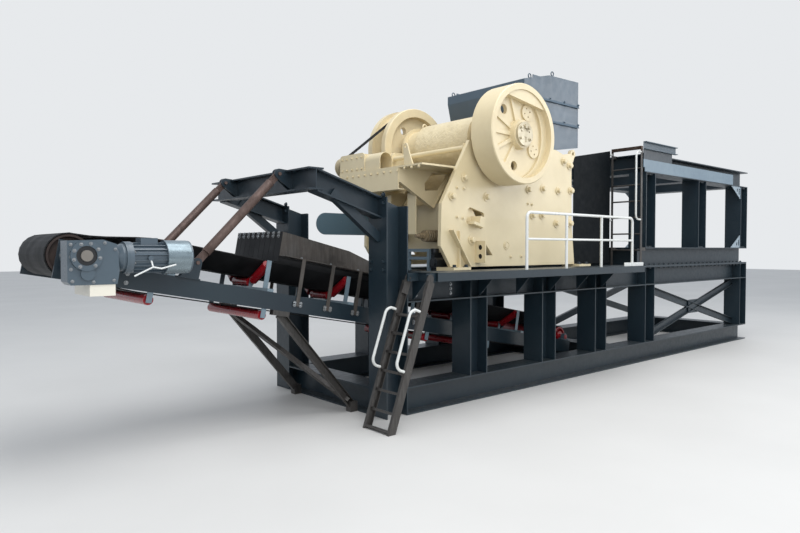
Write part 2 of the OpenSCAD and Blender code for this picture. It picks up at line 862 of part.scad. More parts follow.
module drum_shape(d) {
  difference() {
    rod_y(0, 0, -drum_l / 2, drum_l / 2, d / 2);
    for (s = [-1, 1])
      rod_y(0, 0, s > 0 ? drum_l / 2 - drum_recess : -drum_l / 2 - 1,
            s > 0 ? drum_l / 2 + 1 : -drum_l / 2 + drum_recess, d / 2 - drum_wall);
  }
  rod_y(0, 0, -drum_l / 2 - 10, drum_l / 2 + 10, drum_shaft_d / 2 + 35);
}

module head_drum() color(roller_red) {
  translate([head_x, 0, head_z]) {
    drum_shape(head_d);
    rod_y(0, 0, gear_near_y - 8, web_y + 90, drum_shaft_d / 2);
  }
}

module tail_drum() color(roller_red) {
  in_conveyor()
    translate([conv_l, 0, tail_axis_z]) {
      drum_shape(tail_d);
      rod_y(0, 0, -web_y + 2, web_y - 2, 40);
    }
}

bearing_w = 58;

// Round bearing housings of the head drum and plummer blocks of the tail drum
module drum_bearings() color(gear_grey) {
  translate([head_x, 0, head_z])
    for (s = [-1, 1])
      difference() {
        union() {
          rod_y(0, 0, s > 0 ? web_y : -web_y - bearing_w, s > 0 ? web_y + bearing_w : -web_y, 95);
          rod_y(0, 0, s > 0 ? web_y : -web_y - 18, s > 0 ? web_y + 18 : -web_y, 118);
        }
        rod_y(0, 0, -web_y - bearing_w - 1, web_y + bearing_w + 1, drum_shaft_d / 2 + run_fit);
      }
  in_conveyor()
    translate([conv_l, 0, 0])
      for (s = [-1, 1])
        difference() {
          union() {
            translate([-110, s > 0 ? web_y - 68 : -web_y + 4, stringer_top])
              cube([220, 64, 26]);
            rod_y(0, tail_axis_z, s > 0 ? web_y - 66 : -web_y + 6, s > 0 ? web_y - 6 : -web_y + 66, 57);
          }
          rod_y(0, tail_axis_z, -web_y - 1, web_y + 1, 40 + seat);
          translate([-200, -web_y, stringer_top - 100])
            cube([400, conv_w, 100 + seat]);
        }
}

// Belt loop: rings of eight points swept round both drums, troughed between them
head_in = head_d / 2 + turn_gap;
tail_in = tail_d / 2 + seat;
return_drop = return_z + roller_r + seat + belt_t;

function ease(t) = t <= 0 ? 0 : t >= 1 ? 1 : t * t * (3 - 2 * t);
function trough_at(x) = ease(x / trough_run) * ease((conv_l - x) / trough_run);
function top_z(x) = let (flat = head_in + (tail_in + tail_axis_z - head_in) * x / conv_l)
  flat + (belt_under - flat) * trough_at(x);
function bottom_z(x) = x < first_return
  ? -head_in + (return_drop + head_in) * ease(x / first_return)
  : return_drop + (tail_axis_z - tail_in - return_drop)
    * ease((x - conv_l + trough_run) / trough_run);
function ring(x, z, nx, nz, lift) = [
    for (k = [[-1, 0], [-1, belt_t], [1, belt_t], [1, 0]])
        let (rise = wing_l * sin(trough_a) * lift, reach = centre_half + wing_l * (1 - lift * (1 - cos(trough_a))))
            [x + nx * k[1], k[0] * reach, z + nz * k[1] + rise],
    for (k = [[1, 0], [1, belt_t], [-1, belt_t], [-1, 0]])
        [x + nx * k[1], k[0] * centre_half, z + nz * k[1]]
];
bend_steps = 6;
arc_steps = 10;
arc_out = 1 / cos(90 / arc_steps);
bend_xs = [for (i = [0 : bend_steps]) i / bend_steps];
top_xs = concat(bend_xs * trough_run, [for (t = bend_xs) conv_l - trough_run * (1 - t)]);
bottom_xs = concat([for (t = bend_xs) conv_l - trough_run * t],
                   [for (t = bend_xs) first_return * (1 - t)]);
top_rings = [for (x = top_xs) ring(x, top_z(x), 0, 1, trough_at(x))];
tail_rings = [for (i = [0 : arc_steps - 1])
    let (a = 90 - 180 * (i + 0.5) / arc_steps, n = arc_out * [cos(a), sin(a)])
        ring(conv_l + tail_in * n[0], tail_axis_z + tail_in * n[1], n[0], n[1], 0)];
bottom_rings = [for (x = bottom_xs) ring(x, bottom_z(x), 0, -1, 0)];
head_rings = [for (i = [0 : arc_steps - 1])
    let (a = 270 - 180 * (i + 0.5) / arc_steps, n = arc_out * [cos(a), sin(a)])
        ring(head_in * n[0], head_in * n[1], n[0], n[1], 0)];
belt_rings = concat(top_rings, tail_rings, bottom_rings, head_rings);

module conveyor_belt() color(belt_black) {
  n = len(belt_rings);
  order = [0, 1, 6, 5, 2, 3, 4, 7];
  points = [for (r = belt_rings) for (k = order) r[k]];
  faces = [for (i = [0 : n - 1]) for (k = [0 : 7])
      let (a = i * 8 + k, b = i * 8 + (k + 1) % 8, c = ((i + 1) % n) * 8 + (k + 1) % 8,
           d = ((i + 1) % n) * 8 + k)
          each [[a, b, c], [a, c, d]]];
  in_conveyor()
    polyhedron(points, faces, convexity = 10);
}

// Skirts over the loading part of the belt

skirt_tail = 3457;
skirt_x1 = conv_l - skirt_tail;
skirt_x0 = skirt_x1 - skirt_l;
skirt_y = 555;
skirt_t = 8;
skirt_low = 405;
skirt_top = 700;
skirt_post_xs = [for (k = [0.11, 0.296, 0.48, 0.702, 0.936]) skirt_x0 + k * skirt_l];
post_t = 10;
strip_n = 9;
curtain_t = 12;
curtain_gap = 10;

module skirt_plates() color(bare_steel) {
  in_conveyor()
    for (s = [-1, 1]) {
      plate_xz([[skirt_x0, skirt_low], [skirt_x0, skirt_top],
                [skirt_x0 + 0.43 * skirt_l, skirt_top - 50], [skirt_x0 + 0.62 * skirt_l, skirt_top - 140],
                [skirt_x1, skirt_low + 25], [skirt_x1, skirt_low]],
               s > 0 ? skirt_y : -skirt_y - skirt_t, s > 0 ? skirt_y + skirt_t : -skirt_y);
      translate([skirt_x0, s > 0 ? skirt_y : -web_y - post_t, skirt_low])
        cube([skirt_l, web_y + post_t - skirt_y, skirt_t]);
      for (x = skirt_post_xs) {
        translate([x - 25, s > 0 ? web_y + seat : -web_y - seat - post_t, stringer_top - 110])
          cube([50, post_t, skirt_low - stringer_top + 110]);
        translate([x - 60, s > 0 ? web_y + seat : -web_y - seat - post_t, stringer_top - 120])
          cube([120, post_t, 60]);
      }
    }
}

// Curtain of rubber strips whose lower edge follows the trough of the belt
module rubber_curtain() color(belt_black) {
  half = skirt_y + skirt_t;
  edge = centre_half + wing_l * cos(trough_a);
  low = belt_under + belt_t + curtain_gap;
  side = low + wing_l * sin(trough_a);
  in_conveyor()
    translate([skirt_x0 - curtain_t - seat, 0, 0])
      rotate([90, 0, 90])
        linear_extrude(curtain_t)
          difference() {
            polygon([[-half, side], [-edge, side], [-centre_half, low], [centre_half, low],
                     [edge, side], [half, side], [half, skirt_top], [-half, skirt_top]]);
            for (i = [1 : strip_n - 1])
              translate([-half + i * 2 * half / strip_n - 3, 0])
                square([6, skirt_top - 80]);
          }
}

// Gear unit and motor, level beside the head drum

gear_x0 = head_x - 155;
gear_x1 = head_x + 265;
gear_z0 = head_z - 261;
gear_z1 = head_z + 145;
gear_deep = 250;
flange_r = 135;
motor_r = 150;
motor_z = head_z - 20;
motor_y = gear_near_y + 150;
motor_x0 = gear_x1 + 110;
motor_l = 600;

module gear_unit() color(gear_grey) {
  difference() {
    union() {
      plate_xz([[gear_x0 + 30, gear_z0], [gear_x1, gear_z0], [gear_x1 + 20, gear_z0 + 120],
                [gear_x1, gear_z1 - 40], [gear_x1 - 120, gear_z1], [gear_x0, gear_z1 - 10],
                [gear_x0, gear_z0 + 30]],
               gear_near_y + 30, gear_near_y + gear_deep);
      rod_y(head_x, head_z, gear_near_y, gear_near_y + gear_deep + 20, flange_r);
      rod_y(head_x + 10, head_z - 160, gear_near_y + 10, gear_near_y + 40, 60);
      translate([gear_x1 - 20, motor_y, motor_z])
        rotate([0, 90, 0])
          rotate_extrude($fn = round_n)
            polygon([[0, 0], [105, 0], [105, 40], [130, 80], [130, 105], [motor_r, 105],
                     [motor_r, motor_x0 - gear_x1 + 20 - seat], [0, motor_x0 - gear_x1 + 20 - seat]]);
    }
    rod_y(head_x, head_z, gear_near_y - 1, gear_near_y + gear_deep + 30, drum_shaft_d / 2 + run_fit);
    rod_y(head_x, head_z, gear_near_y - 1, gear_near_y + 14, drum_shaft_d / 2 + 38);
  }
  difference() {
    translate([head_x + 30, gear_near_y + 40, gear_z0 - 105])
      cube([220, -web_y - gear_near_y + 40, 105]);
    in_conveyor()
      translate([-200, -web_y - seat, stringer_top - stringer_h - seat])
        cube([900, 200, 400]);
  }
  pump_unit();
}

pump_y = -490;

// Pump unit on the cross beam behind the crusher: a block, an upright housing and a level motor
module pump_unit() {
  base = deck_top + seat;
  translate([col_b_x - 105, pump_y - 130, base])
    cube([235, 260, 30]);
  translate([col_b_x - 90, pump_y - 20, base + 30])
    cube([180, 130, 240]);
  rod_x(col_b_x - 150, col_b_x + 120, pump_y - 60, base + 120, 78);
  rod_x(col_b_x - 175, col_b_x - 150, pump_y - 60, base + 120, 50);
  rod_z(col_b_x - 20, pump_y + 45, base + 270, base + 330, 62);
  rod_x(col_b_x - 105, col_b_x - 90, pump_y + 45, base + 190, 55);
}

module drive_motor() color(gear_grey) {
  difference() {
    union() {
      rod_x(motor_x0, motor_x0 + 40, motor_y, motor_z, motor_r);
      rod_x(motor_x0 + 40, motor_x0 + motor_l - 30, motor_y, motor_z, motor_r - 22);
      rod_x(motor_x0 + 350, motor_x0 + motor_l, motor_y, motor_z, motor_r + 12);
      translate([motor_x0 + 120, motor_y - 70, motor_z + 60])
        cube([160, 140, 125]);
      for (a = [20 : 20 : 340])
        translate([motor_x0 + 40, motor_y, motor_z])
          rotate([a, 0, 0])
            translate([0, -3, motor_r - 40])
              cube([310, 6, 40]);
    }
    rod_x(motor_x0 + motor_l - 12, motor_x0 + motor_l + 1, motor_y, motor_z, motor_r - 10);
  }
}

// Crusher

cheek_y = crusher_w / 2;
cheek_in = cheek_y - cheek_t;
housing_r = 330;
cheek_points = [
    [-3880, 1822], [-4090, 2125], [-4071, 2726], [-3505, 3667], [-1394, 3731], [-950, 3605],
    [-936, 2562], [-849, 1822]
];
foot_z = 1822;
window_mid = [-3375, 2535];
window_size = [360, 250];
window_a = -14;
corner_r = 50;
eye_lug = [cheek_points[5][0] + 44, cheek_points[5][1] + 107];

module window_cut() {
  translate(window_mid)
    rotate(window_a) {
      square([window_size[0], window_size[1] - 2 * corner_r], center = true);
      square([window_size[0] - 2 * corner_r, window_size[1]], center = true);
      for (x = [-1, 1])
        for (z = [-1, 1])
          translate([x * (window_size[0] / 2 - corner_r), z * (window_size[1] / 2 - corner_r)])
            circle(r = corner_r, $fn = round_n);
    }
}

// Side plates with an eye at the top right corner and an upright rib over the rear foot
module side_plates() color(cream) {
  for (s = [-1, 1]) {
    translate([0, s > 0 ? cheek_y : -cheek_in, 0])
      rotate([90, 0, 0])
        linear_extrude(cheek_t)
          difference() {
            union() {
              polygon(cheek_points);
              polygon([cheek_points[4] + [180, -60], eye_lug + [-70, 0], eye_lug + [70, 0],
                       cheek_points[5] + [0, -120]]);
              translate(eye_lug)
                circle(r = 70, $fn = round_n);
            }
            translate(eye_lug)
              circle(r = 32, $fn = round_n);
            translate([axis_x, axis_z])
              circle(r = housing_r + seat, $fn = 96);
            window_cut();
            polygon([[-3365, 2182], [-3165, 2180], [-2985, 1988], [-3150, 1988], [-3215, 2140],
                     [-3355, 2143]]);
          }
    bar_xz(cheek_points[1] + [170, 230], cheek_points[0] + [320, 20], s * (cheek_y + rib_out / 2), rib_t,
           rib_out);
    translate([cheek_points[0][0] + 130, s > 0 ? cheek_y : -cheek_y - rib_out / 2, foot_z])
      cube([rib_t, rib_out / 2, 520]);
  }
}

rib_t = 16;
rib_out = 90;

wall_top = 3560;
jaw_low = 1950;
jaw_high = 3480;
fixed_face = [[-1290, jaw_high], [-1340, jaw_low]];
swing_face = [[fixed_face[0][0] - jaw_gape, jaw_high], [fixed_face[1][0] - jaw_set, jaw_low]];

// Place of a jaw face at height z, and the level distance from it to its seat
function face_at(f, z) = f[0][0] + (f[1][0] - f[0][0]) * (z - f[0][1]) / (f[1][1] - f[0][1]);
function behind(f) = (jaw_t + seat) * norm(f[1] - f[0]) / (f[0][1] - f[1][1]);

beam_left = -3640;

// Cross walls between the side plates, and the feet
module crusher_frame() color(cream) {
  y1 = cheek_in - seat;
  plate_xz([[face_at(fixed_face, 1850) + behind(fixed_face), 1850], [-880, 1850], [-960, wall_top],
            [face_at(fixed_face, wall_top) + behind(fixed_face), wall_top]], -y1, y1);
  difference() {
    plate_xz([[beam_left, 2300], [beam_left + 340, 2300], [beam_left + 340, 2560],
              [beam_left + 200, 2760], [beam_left, 2760]], -y1, y1);
    toggle_bar(seat);
  }
  translate([beam_left, -y1, 2050])
    cube([30, 2 * y1, 251]);
  for (s = [-1, 1])
    for (x = [col_b_x, col_d_x]) {
      translate([x - beam_b / 2, s > 0 ? foot_y0 : -cheek_y - 120, deck_top + seat])
        cube([beam_b, cheek_y + 120 - foot_y0, foot_z - deck_top - 2 * seat]);
    }
}

// Toggle plate between the toggle beam and the pitman, grown by the gap of its pockets
module toggle_bar(grow) {
  bar_xz([beam_left + 220 - grow, 2402 + grow / 4], [swing_face[1][0] - 480 + grow, jaw_low + 160 - grow / 4], 0,
         90 + 2 * grow, 2 * cheek_in - 260 + 2 * grow);
}

jaw_teeth = 12;
tooth_deep = 30;

// A corrugated jaw plate along a face line, from its top point to its bottom point
module jaw_plate(face, side, half) {
  run = face[1] - face[0];
  long = norm(run);
  pitch = 2 * half / jaw_teeth;
  translate([face[0][0], 0, face[0][1]])
    rotate([0, atan2(run[0], run[1]), 0])
      linear_extrude(long)
        polygon(concat([[-side * jaw_t, -half], [-side * jaw_t, half]],
                       [for (i = [jaw_teeth : -1 : 1]) each [
                           [-side * tooth_deep, -half + i * pitch], [0, -half + (i - 0.25) * pitch],
                           [0, -half + (i - 0.5) * pitch],
                           [-side * tooth_deep, -half + (i - 0.75) * pitch]]],
                       [[-side * tooth_deep, -half]]));
}

module jaw_plates() color(bare_steel) {
  jaw_plate(fixed_face, 1, cheek_in - seat);
  jaw_plate(swing_face, -1, cheek_in - 40);
}

barrel_r = barrel_d / 2;
shaft_r = shaft_d / 2;
barrel_half = 590;

module pitman() color(cream) {
  back = behind(swing_face);
  difference() {
    union() {
      rod_y(axis_x, axis_z, -barrel_half, barrel_half, barrel_r);
      plate_xz([[face_at(swing_face, jaw_high + 60) - back, jaw_high + 60],
                [swing_face[1][0] - back, jaw_low], [swing_face[1][0] - back - 200, jaw_low - 40],
                [swing_face[1][0] - 560, jaw_low + 260],
                [axis_x - barrel_r * 0.8, axis_z - barrel_r * 0.6], [axis_x, axis_z]],
               -cheek_in + 40, cheek_in - 40);
    }
    toggle_bar(seat);
    rod_y(axis_x, axis_z, -cheek_y, cheek_y, shaft_r + run_fit);
    for (s = [-1, 1])
      rod_y(axis_x, axis_z, s > 0 ? barrel_half : -cheek_y, s > 0 ? cheek_y : -barrel_half, housing_r + 60);
  }
}

housing_in = 605;
housing_out = 900;

module bearing_housings() color(cream) {
  for (s = [-1, 1])
    difference() {
      union() {
        rod_y(axis_x, axis_z, s > 0 ? housing_in : -housing_out, s > 0 ? housing_out : -housing_in, housing_r);
        rod_y(axis_x, axis_z, s > 0 ? cheek_y + seat : -housing_out - 8,
              s > 0 ? housing_out + 8 : -cheek_y - seat, housing_r + 60);
      }
      rod_y(axis_x, axis_z, -housing_out - 50, housing_out + 50, shaft_r + run_fit);
    }
}

wheel_r = wheel_d / 2;
near_y = -970;
hub_r = 220;
wheel_bore = 140;
web_face = 120;

module eccentric_shaft() color(gear_grey) {
  rod_y(axis_x, axis_z, -930, 925, shaft_r);
  rod_y(axis_x, axis_z, near_y - wheel_w + 24, far_y + pulley_w - 30, wheel_bore);
  cap_y = near_y - wheel_w - 12;
  difference() {
    rod_y(axis_x, axis_z, cap_y, near_y - wheel_w + 25 - seat, 175);
    for (a = [20, 160])
      rod_y(axis_x + 95 * cos(a), axis_z + 95 * sin(a), cap_y - 1, cap_y + 10, 15);
    translate([axis_x - 22, cap_y - 1, axis_z - 120])
      cube([44, 11, 75]);
  }
  translate([axis_x, cap_y, axis_z + 105])
    rotate([90, 0, 0])
      cylinder(h = 26, r = 32, $fn = 6);
}

module on_axis() {
  translate([axis_x, 0, axis_z])
    rotate([90, 0, 0])
      children();
}

near_hole_r = 70;
near_hole_pcr = 470;
near_hole_angles = [135, 258];
pad_angles = [62, -30];
pad_pcr = 390;
counter_at = 0.65;
counter_turn = -8;
rib_w = 60;
rib_h = 26;
pad_r = 120;
rib_angles = [110, 155, 180, 205, 235];

// Near flywheel: rim, recessed web with ribs, counterweight, raised step and round pads
module near_flywheel() color(cream) {
  near_face = -near_y + wheel_w;
  web_z0 = near_face - web_face - wheel_web_t;
  on_axis()
    difference() {
      union() {
        rotate_extrude($fn = 128)
          polygon([[wheel_bore + seat, -near_y - 10], [hub_r, -near_y - 10], [hub_r, web_z0],
                   [wheel_r - rim_t, web_z0], [wheel_r - rim_t, -near_y], [wheel_r - 12, -near_y],
                   [wheel_r, -near_y + 12], [wheel_r, near_face - 12], [wheel_r - 12, near_face],
                   [wheel_r - rim_t, near_face], [wheel_r - rim_t, web_z0 + wheel_web_t],
                   [hub_r, web_z0 + wheel_web_t], [hub_r - 15, near_face - 25],
                   [wheel_bore + seat, near_face - 25]]);
        translate([0, 0, web_z0])
          linear_extrude(web_face + wheel_web_t - 20)
            rotate(counter_turn)
              intersection() {
                circle(r = wheel_r - rim_t + 5, $fn = 96);
                translate([-wheel_r, wheel_r * counter_at])
                  square([2 * wheel_r, wheel_r]);
              }
        translate([0, 0, web_z0])
          linear_extrude(wheel_web_t + 35)
            difference() {
              circle(r = wheel_r - rim_t + 5, $fn = 96);
              translate([-150, 0])
                circle(r = wheel_r - rim_t + 20, $fn = 96);
            }
        for (a = rib_angles)
          rotate(a)
            translate([0, 0, web_z0 + wheel_web_t - 1])
              linear_extrude(rib_h)
                polygon([[hub_r - 20, -rib_w / 2], [wheel_r - rim_t + 5, -rib_w / 3],
                         [wheel_r - rim_t + 5, rib_w / 3], [hub_r - 20, rib_w / 2]]);
        for (a = pad_angles)
          rotate(a)
            translate([pad_pcr, 0, web_z0])
              cylinder(h = wheel_web_t + 22, r = pad_r, $fn = round_n);
      }
      for (a = near_hole_angles)
        rotate(a)
          translate([near_hole_pcr, 0, -near_y - 50])
            cylinder(h = wheel_w + 100, r = near_hole_r, $fn = round_n);
      for (a = pad_angles)
        rotate(a)
          translate([pad_pcr, 0, 0])
            for (b = [45 : 90 : 315])
              rotate(b)
                translate([62, 0, web_z0 + wheel_web_t])
                  cylinder(h = 30, r = 13, $fn = 24);
    }
}

far_y = 940;
groove_r = 668;
groove_deep = 22;
groove_pitch = 37;
groove_y0 = far_y + 120;
far_hole_n = 5;

// Far flywheel with V grooves on its rim
module far_flywheel() color(cream) {
  groove_y1 = groove_y0 + groove_n * groove_pitch;
  translate([axis_x, 0, axis_z])
    rotate([-90, 0, 0])
      difference() {
        rotate_extrude($fn = 128)
          polygon(concat(
              [[wheel_bore + seat, far_y - 10], [hub_r, far_y - 10], [hub_r, far_y + 110],
               [wheel_r - 140, far_y + 110], [wheel_r - 140, far_y], [wheel_r - 10, far_y],
               [wheel_r, far_y + 10], [wheel_r, groove_y0 - 20], [groove_r, groove_y0 - 20],
               [groove_r, groove_y0]],
              [for (i = [0 : groove_n - 1]) each [
                  [groove_r, groove_y0 + i * groove_pitch + 1],
                  [groove_r - groove_deep, groove_y0 + i * groove_pitch + 6],
                  [groove_r - groove_deep, groove_y0 + (i + 1) * groove_pitch - 6],
                  [groove_r, groove_y0 + (i + 1) * groove_pitch - 1]]],
              [[groove_r, groove_y1 + 4], [wheel_r, groove_y1 + 4], [wheel_r, far_y + pulley_w],
               [wheel_r - 140, far_y + pulley_w], [wheel_r - 140, far_y + 200],
               [hub_r, far_y + 200], [hub_r, far_y + pulley_w - 40],
               [wheel_bore + seat, far_y + pulley_w - 40]]));
        for (i = [0 : far_hole_n - 1])
          rotate(i * 360 / far_hole_n + 20)
            translate([410, 0, far_y])
              cylinder(h = pulley_w, r = 65, $fn = round_n);
      }
}

sheave_x = -4200;
sheave_z = shelf_top + 140;
sheave_r = sheave_d / 2;
vbelt_h = 16;
vbelt_w = groove_pitch - 2 - 2 * turn_gap - 4;
vbelt_in = groove_r - groove_deep + turn_gap;
sheave_in = sheave_r - groove_deep + seat;

function arc_points(c, r, a0, a1, n) = [
    for (i = [0 : n]) c + r / cos((a1 - a0) / n / 2) * [cos(a0 + (a1 - a0) * i / n), sin(a0 + (a1 - a0) * i / n)]
];

// Outline of a belt loop round both wheels, at a distance off the inner line
module loop_outline(off) {
  big = [axis_x, axis_z];
  small = [sheave_x, sheave_z];
  gap = small - big;
  lean = atan2(gap[1], gap[0]);
  open = acos((vbelt_in - sheave_in) / norm(gap));
  polygon(concat(arc_points(big, vbelt_in + off, lean + open, lean + 360 - open, 56),
                 arc_points(small, sheave_in + off, lean - open, lean + open, 20)));
}

module v_belts() color(belt_black) {
  for (i = [0 : vbelt_n - 1]) {
    mid = groove_y0 + (i * 2 + 0.5) * groove_pitch;
    translate([0, mid + vbelt_w / 2, 0])
      rotate([90, 0, 0])
        linear_extrude(vbelt_w)
          difference() {
            loop_outline(vbelt_h);
            loop_outline(0);
          }
  }
}

module drive_sheave() color(gear_grey) {
  y1 = groove_y0 + groove_n * groove_pitch;
  translate([sheave_x, 0, sheave_z])
    rotate([-90, 0, 0])
      rotate_extrude($fn = 96)
        polygon(concat(
            [[0, box_y0 + 20], [45, box_y0 + 20], [45, groove_y0 - 10], [sheave_r, groove_y0 - 10]],
            [for (i = [0 : groove_n - 1]) each [
                [sheave_r, groove_y0 + i * groove_pitch + 1],
                [sheave_r - groove_deep, groove_y0 + i * groove_pitch + 5],
                [sheave_r - groove_deep, groove_y0 + (i + 1) * groove_pitch - 5],
                [sheave_r, groove_y0 + (i + 1) * groove_pitch - 1]]],
            [[sheave_r, y1 + 10], [0, y1 + 10]]));
}

wedge_out = 120;

// Toggle plate, wedges in the windows and the box brackets below them
module toggle_gear() color(cream) {
  toggle_bar(0);
  for (s = [-1, 1])
    translate([window_mid[0], 0, window_mid[1]])
      rotate([0, -window_a, 0])
        translate([0, s > 0 ? cheek_in : -cheek_y - wedge_out, 0]) {
          translate([-window_size[0] / 2 + corner_r, 0, seat - window_size[1] / 2])
            cube([150, wedge_out + cheek_t, 40]);
          translate([-window_size[0] / 2 + corner_r + 110, 0, seat - window_size[1] / 2])
            cube([110, wedge_out + cheek_t, 150]);
        }
  for (s = [-1, 1])
    translate([-3380, s > 0 ? cheek_y + seat : -cheek_y - 200, 1880])
      difference() {
        cube([110, 200 - seat, 320]);
        translate([20, -1, 20])
          cube([100, 202, 280]);
        for (z = [95, 225])
          rod_x(-1, 30, 100, z, 38);
      }
}

spring_r = 95;
spring_y = 350;
spring_z = 2275;
spring_x0 = beam_left - 450;

// Tension rods with their coil springs behind the crusher
module tension_spring() color(roller_red) {
  for (s = [-1, 1]) {
    rod_x(spring_x0, beam_left - seat, s * spring_y, spring_z, 26);
    rod_x(spring_x0 + 165, spring_x0 + 195, s * spring_y, spring_z, spring_r - 12);
    rod_x(spring_x0 + 195, beam_left - seat, s * spring_y, spring_z, spring_r);
  }
}

shelf_y0 = -870;
shelf_y1 = 1040;
shelf_back = -3800;
shelf_in = -3390;
shelf_t = 25;
bracket_y = 370;
lip_b = 80;
lip_t = 14;
lug_hole_r = 22;

// Corners of the brackets under the shelf: front top, front low, tip and rear top
bracket_points = [[shelf_front + 10, shelf_top - shelf_t / 2], [shelf_front + 10, shelf_top - 220],
                  [-3775, 2690], [shelf_in - 12, shelf_top - shelf_t / 2]];

// A straight strip from point a to point b in the plane
module strip(a, b, wide) {
  translate(a)
    rotate(atan2(b[1] - a[1], b[0] - a[0]))
      translate([0, -wide / 2])
        square([norm(b - a), wide]);
}

module shelf_bracket(y) {
  translate([0, y, 0])
    rotate([90, 0, 0]) {
      linear_extrude(lip_b, center = true)
        for (i = [1, 2])
          strip(bracket_points[i], bracket_points[i + 1], lip_t);
      linear_extrude(lip_t, center = true)
        difference() {
          polygon(bracket_points);
          polygon([[-3780, shelf_top - 55], [-3930, 3050], [-3930, 2940], [-3670, 2960],
                   [-3550, 3090], [-3490, shelf_top - 55]]);
        }
    }
  translate([-4105, y > 0 ? y - 180 : y, 2300])
    cube([lip_t, 180, 600]);
}

// Shelf behind the crusher that carries the belt drive
module motor_shelf() color(cream) {
  translate([shelf_front, shelf_y0, shelf_top - shelf_t])
    cube([shelf_back - shelf_front, shelf_y1 - shelf_y0, shelf_t]);
  translate([shelf_front + 200, -cheek_in + seat, shelf_top - shelf_t])
    cube([shelf_in - shelf_front - 200, 2 * (cheek_in - seat), shelf_t]);
  translate([shelf_front, -bracket_y, shelf_low])
    cube([20, shelf_y1 + bracket_y, shelf_top - shelf_low - shelf_t]);
  translate([shelf_front, -bracket_y, shelf_low])
    cube([120, shelf_y1 + bracket_y, 20]);
  translate([shelf_front + 20, shelf_y1 - 16, shelf_low])
    cube([100, 16, shelf_top - shelf_low - shelf_t]);
  for (y = [-bracket_y, bracket_y])
    shelf_bracket(y);
  translate([shelf_front + 60, 0, shelf_top])
    rotate([90, 0, 90])
      linear_extrude(20)
        difference() {
          polygon([[-620, 0], [-440, 0], [-412, 265], [-430, 308], [-475, 318], [-500, 290], [-560, 120]]);
          translate([-456, 270])
            circle(r = lug_hole_r, $fn = round_n);
        }
}

box_y0 = 420;
arch_w = 240;
arch_h = 260;
box_t = 14;

module arch(grow) {
  translate([0, arch_h - arch_w / 2])
    circle(r = arch_w / 2 + grow, $fn = round_n);
  translate([-arch_w / 2 - grow, 0])
    square([arch_w + 2 * grow, arch_h - arch_w / 2]);
}

// Bearing box of the drive sheave and the arched cover beside it
module shelf_boxes() color(cream) {
  for (x = [shelf_front + 10, sheave_x + 130])
    translate([x + box_t, 0, shelf_top + seat])
      rotate([90, 0, -90])
        linear_extrude(box_t)
          difference() {
            union() {
              translate([-shelf_y1, 0])
                square([shelf_y1 - box_y0, 220]);
              translate([-shelf_y1 + 60, 220])
                square([shelf_y1 - box_y0 - 120, 60]);
              for (c = [-shelf_y1 + 60, -box_y0 - 60])
                translate([c, 220])
                  circle(r = 60, $fn = round_n);
            }
          }
  for (y = [box_y0, shelf_y1 - box_t])
    difference() {
      translate([shelf_front + 10 + box_t + seat, y, shelf_top + seat])
        cube([sheave_x + 130 - shelf_front - 10 - box_t - 2 * seat, box_t, 260]);
      rod_y(sheave_x, sheave_z, y - 1, y + box_t + 1, 45 + seat);
    }
  translate([shelf_front + 20 + arch_w / 2, box_y0 - seat, shelf_top + seat])
    rotate([90, 0, 0])
      linear_extrude(box_y0 - 60)
        difference() {
          arch(0);
          arch(-10);
        }
}

pipe_z = 3560;
pipe_x = -3520;

// Pipe across the crusher behind the barrel
module grease_pipe() color(cream) {
  rod_y(pipe_x, pipe_z, -cheek_in + 20, cheek_in - 20, 38);
  for (s = [-1, 1])
    translate([pipe_x - 50, s > 0 ? cheek_in - 20 : -cheek_in + seat, pipe_z - 60])
      cube([100, 20 - seat, 120]);
}

hood_y = 850;
hood_x0 = -2000;
hood_x1 = -735;
hood_lean = 220;
lap_low = 4220;
lap_high = 4560;
guard_x0 = -5045;
guard_z = [2300, 2630];

// Height of the top edge of the side plates along its long slope
function cheek_top(x) = cheek_points[3][1] + (cheek_points[4][1] - cheek_points[3][1])
  * (x - cheek_points[3][0]) / (cheek_points[4][0] - cheek_points[3][0]);

// Hood round the mouth, of three strips a side that lap over each other
module feed_hood() color(pale_slate) {
  for (s = [-1, 1]) {
    plate_xz([[hood_x0, cheek_top(hood_x0) + seat], [cheek_points[4][0], cheek_points[4][1] + seat],
              [hood_x1, cheek_points[4][1] + 100], [hood_x1, lap_low], [hood_x0, lap_low]],
             s > 0 ? hood_y - hood_t : -hood_y, s > 0 ? hood_y : -hood_y + hood_t);
    for (k = [[lap_low - 20, lap_high], [lap_high - 20, hood_top - 60]])
      translate([hood_x0, s > 0 ? hood_y - hood_t : -hood_y, k[0]])
        cube([hood_x1 - hood_x0, hood_t, k[1] - k[0]]);
    for (z = [lap_low - 20, lap_high - 20])
      translate([hood_x0, s > 0 ? hood_y - 1 : -hood_y - hood_t, z])
        cube([hood_x1 - hood_x0, hood_t + 1, 40]);
    plate_xz([[hood_x0 - hood_lean, lap_high + 80], [hood_x0, lap_high], [hood_x1, lap_high],
              [hood_x1, hood_top + 20], [hood_x0 + 430, hood_top], [hood_x0 - hood_lean, hood_top - 160]],
             s > 0 ? hood_y - hood_t : -hood_y, s > 0 ? hood_y : -hood_y + hood_t);
  }
  plate_xz([[hood_x0 - hood_lean, lap_high + 80], [hood_x0 - hood_lean, hood_top - 160],
            [hood_x0 - hood_lean + hood_t, hood_top - 160], [hood_x0 + hood_t, 3800], [hood_x0, 3800]],
           -hood_y + 1, hood_y - 1);
  rear_guard();
}

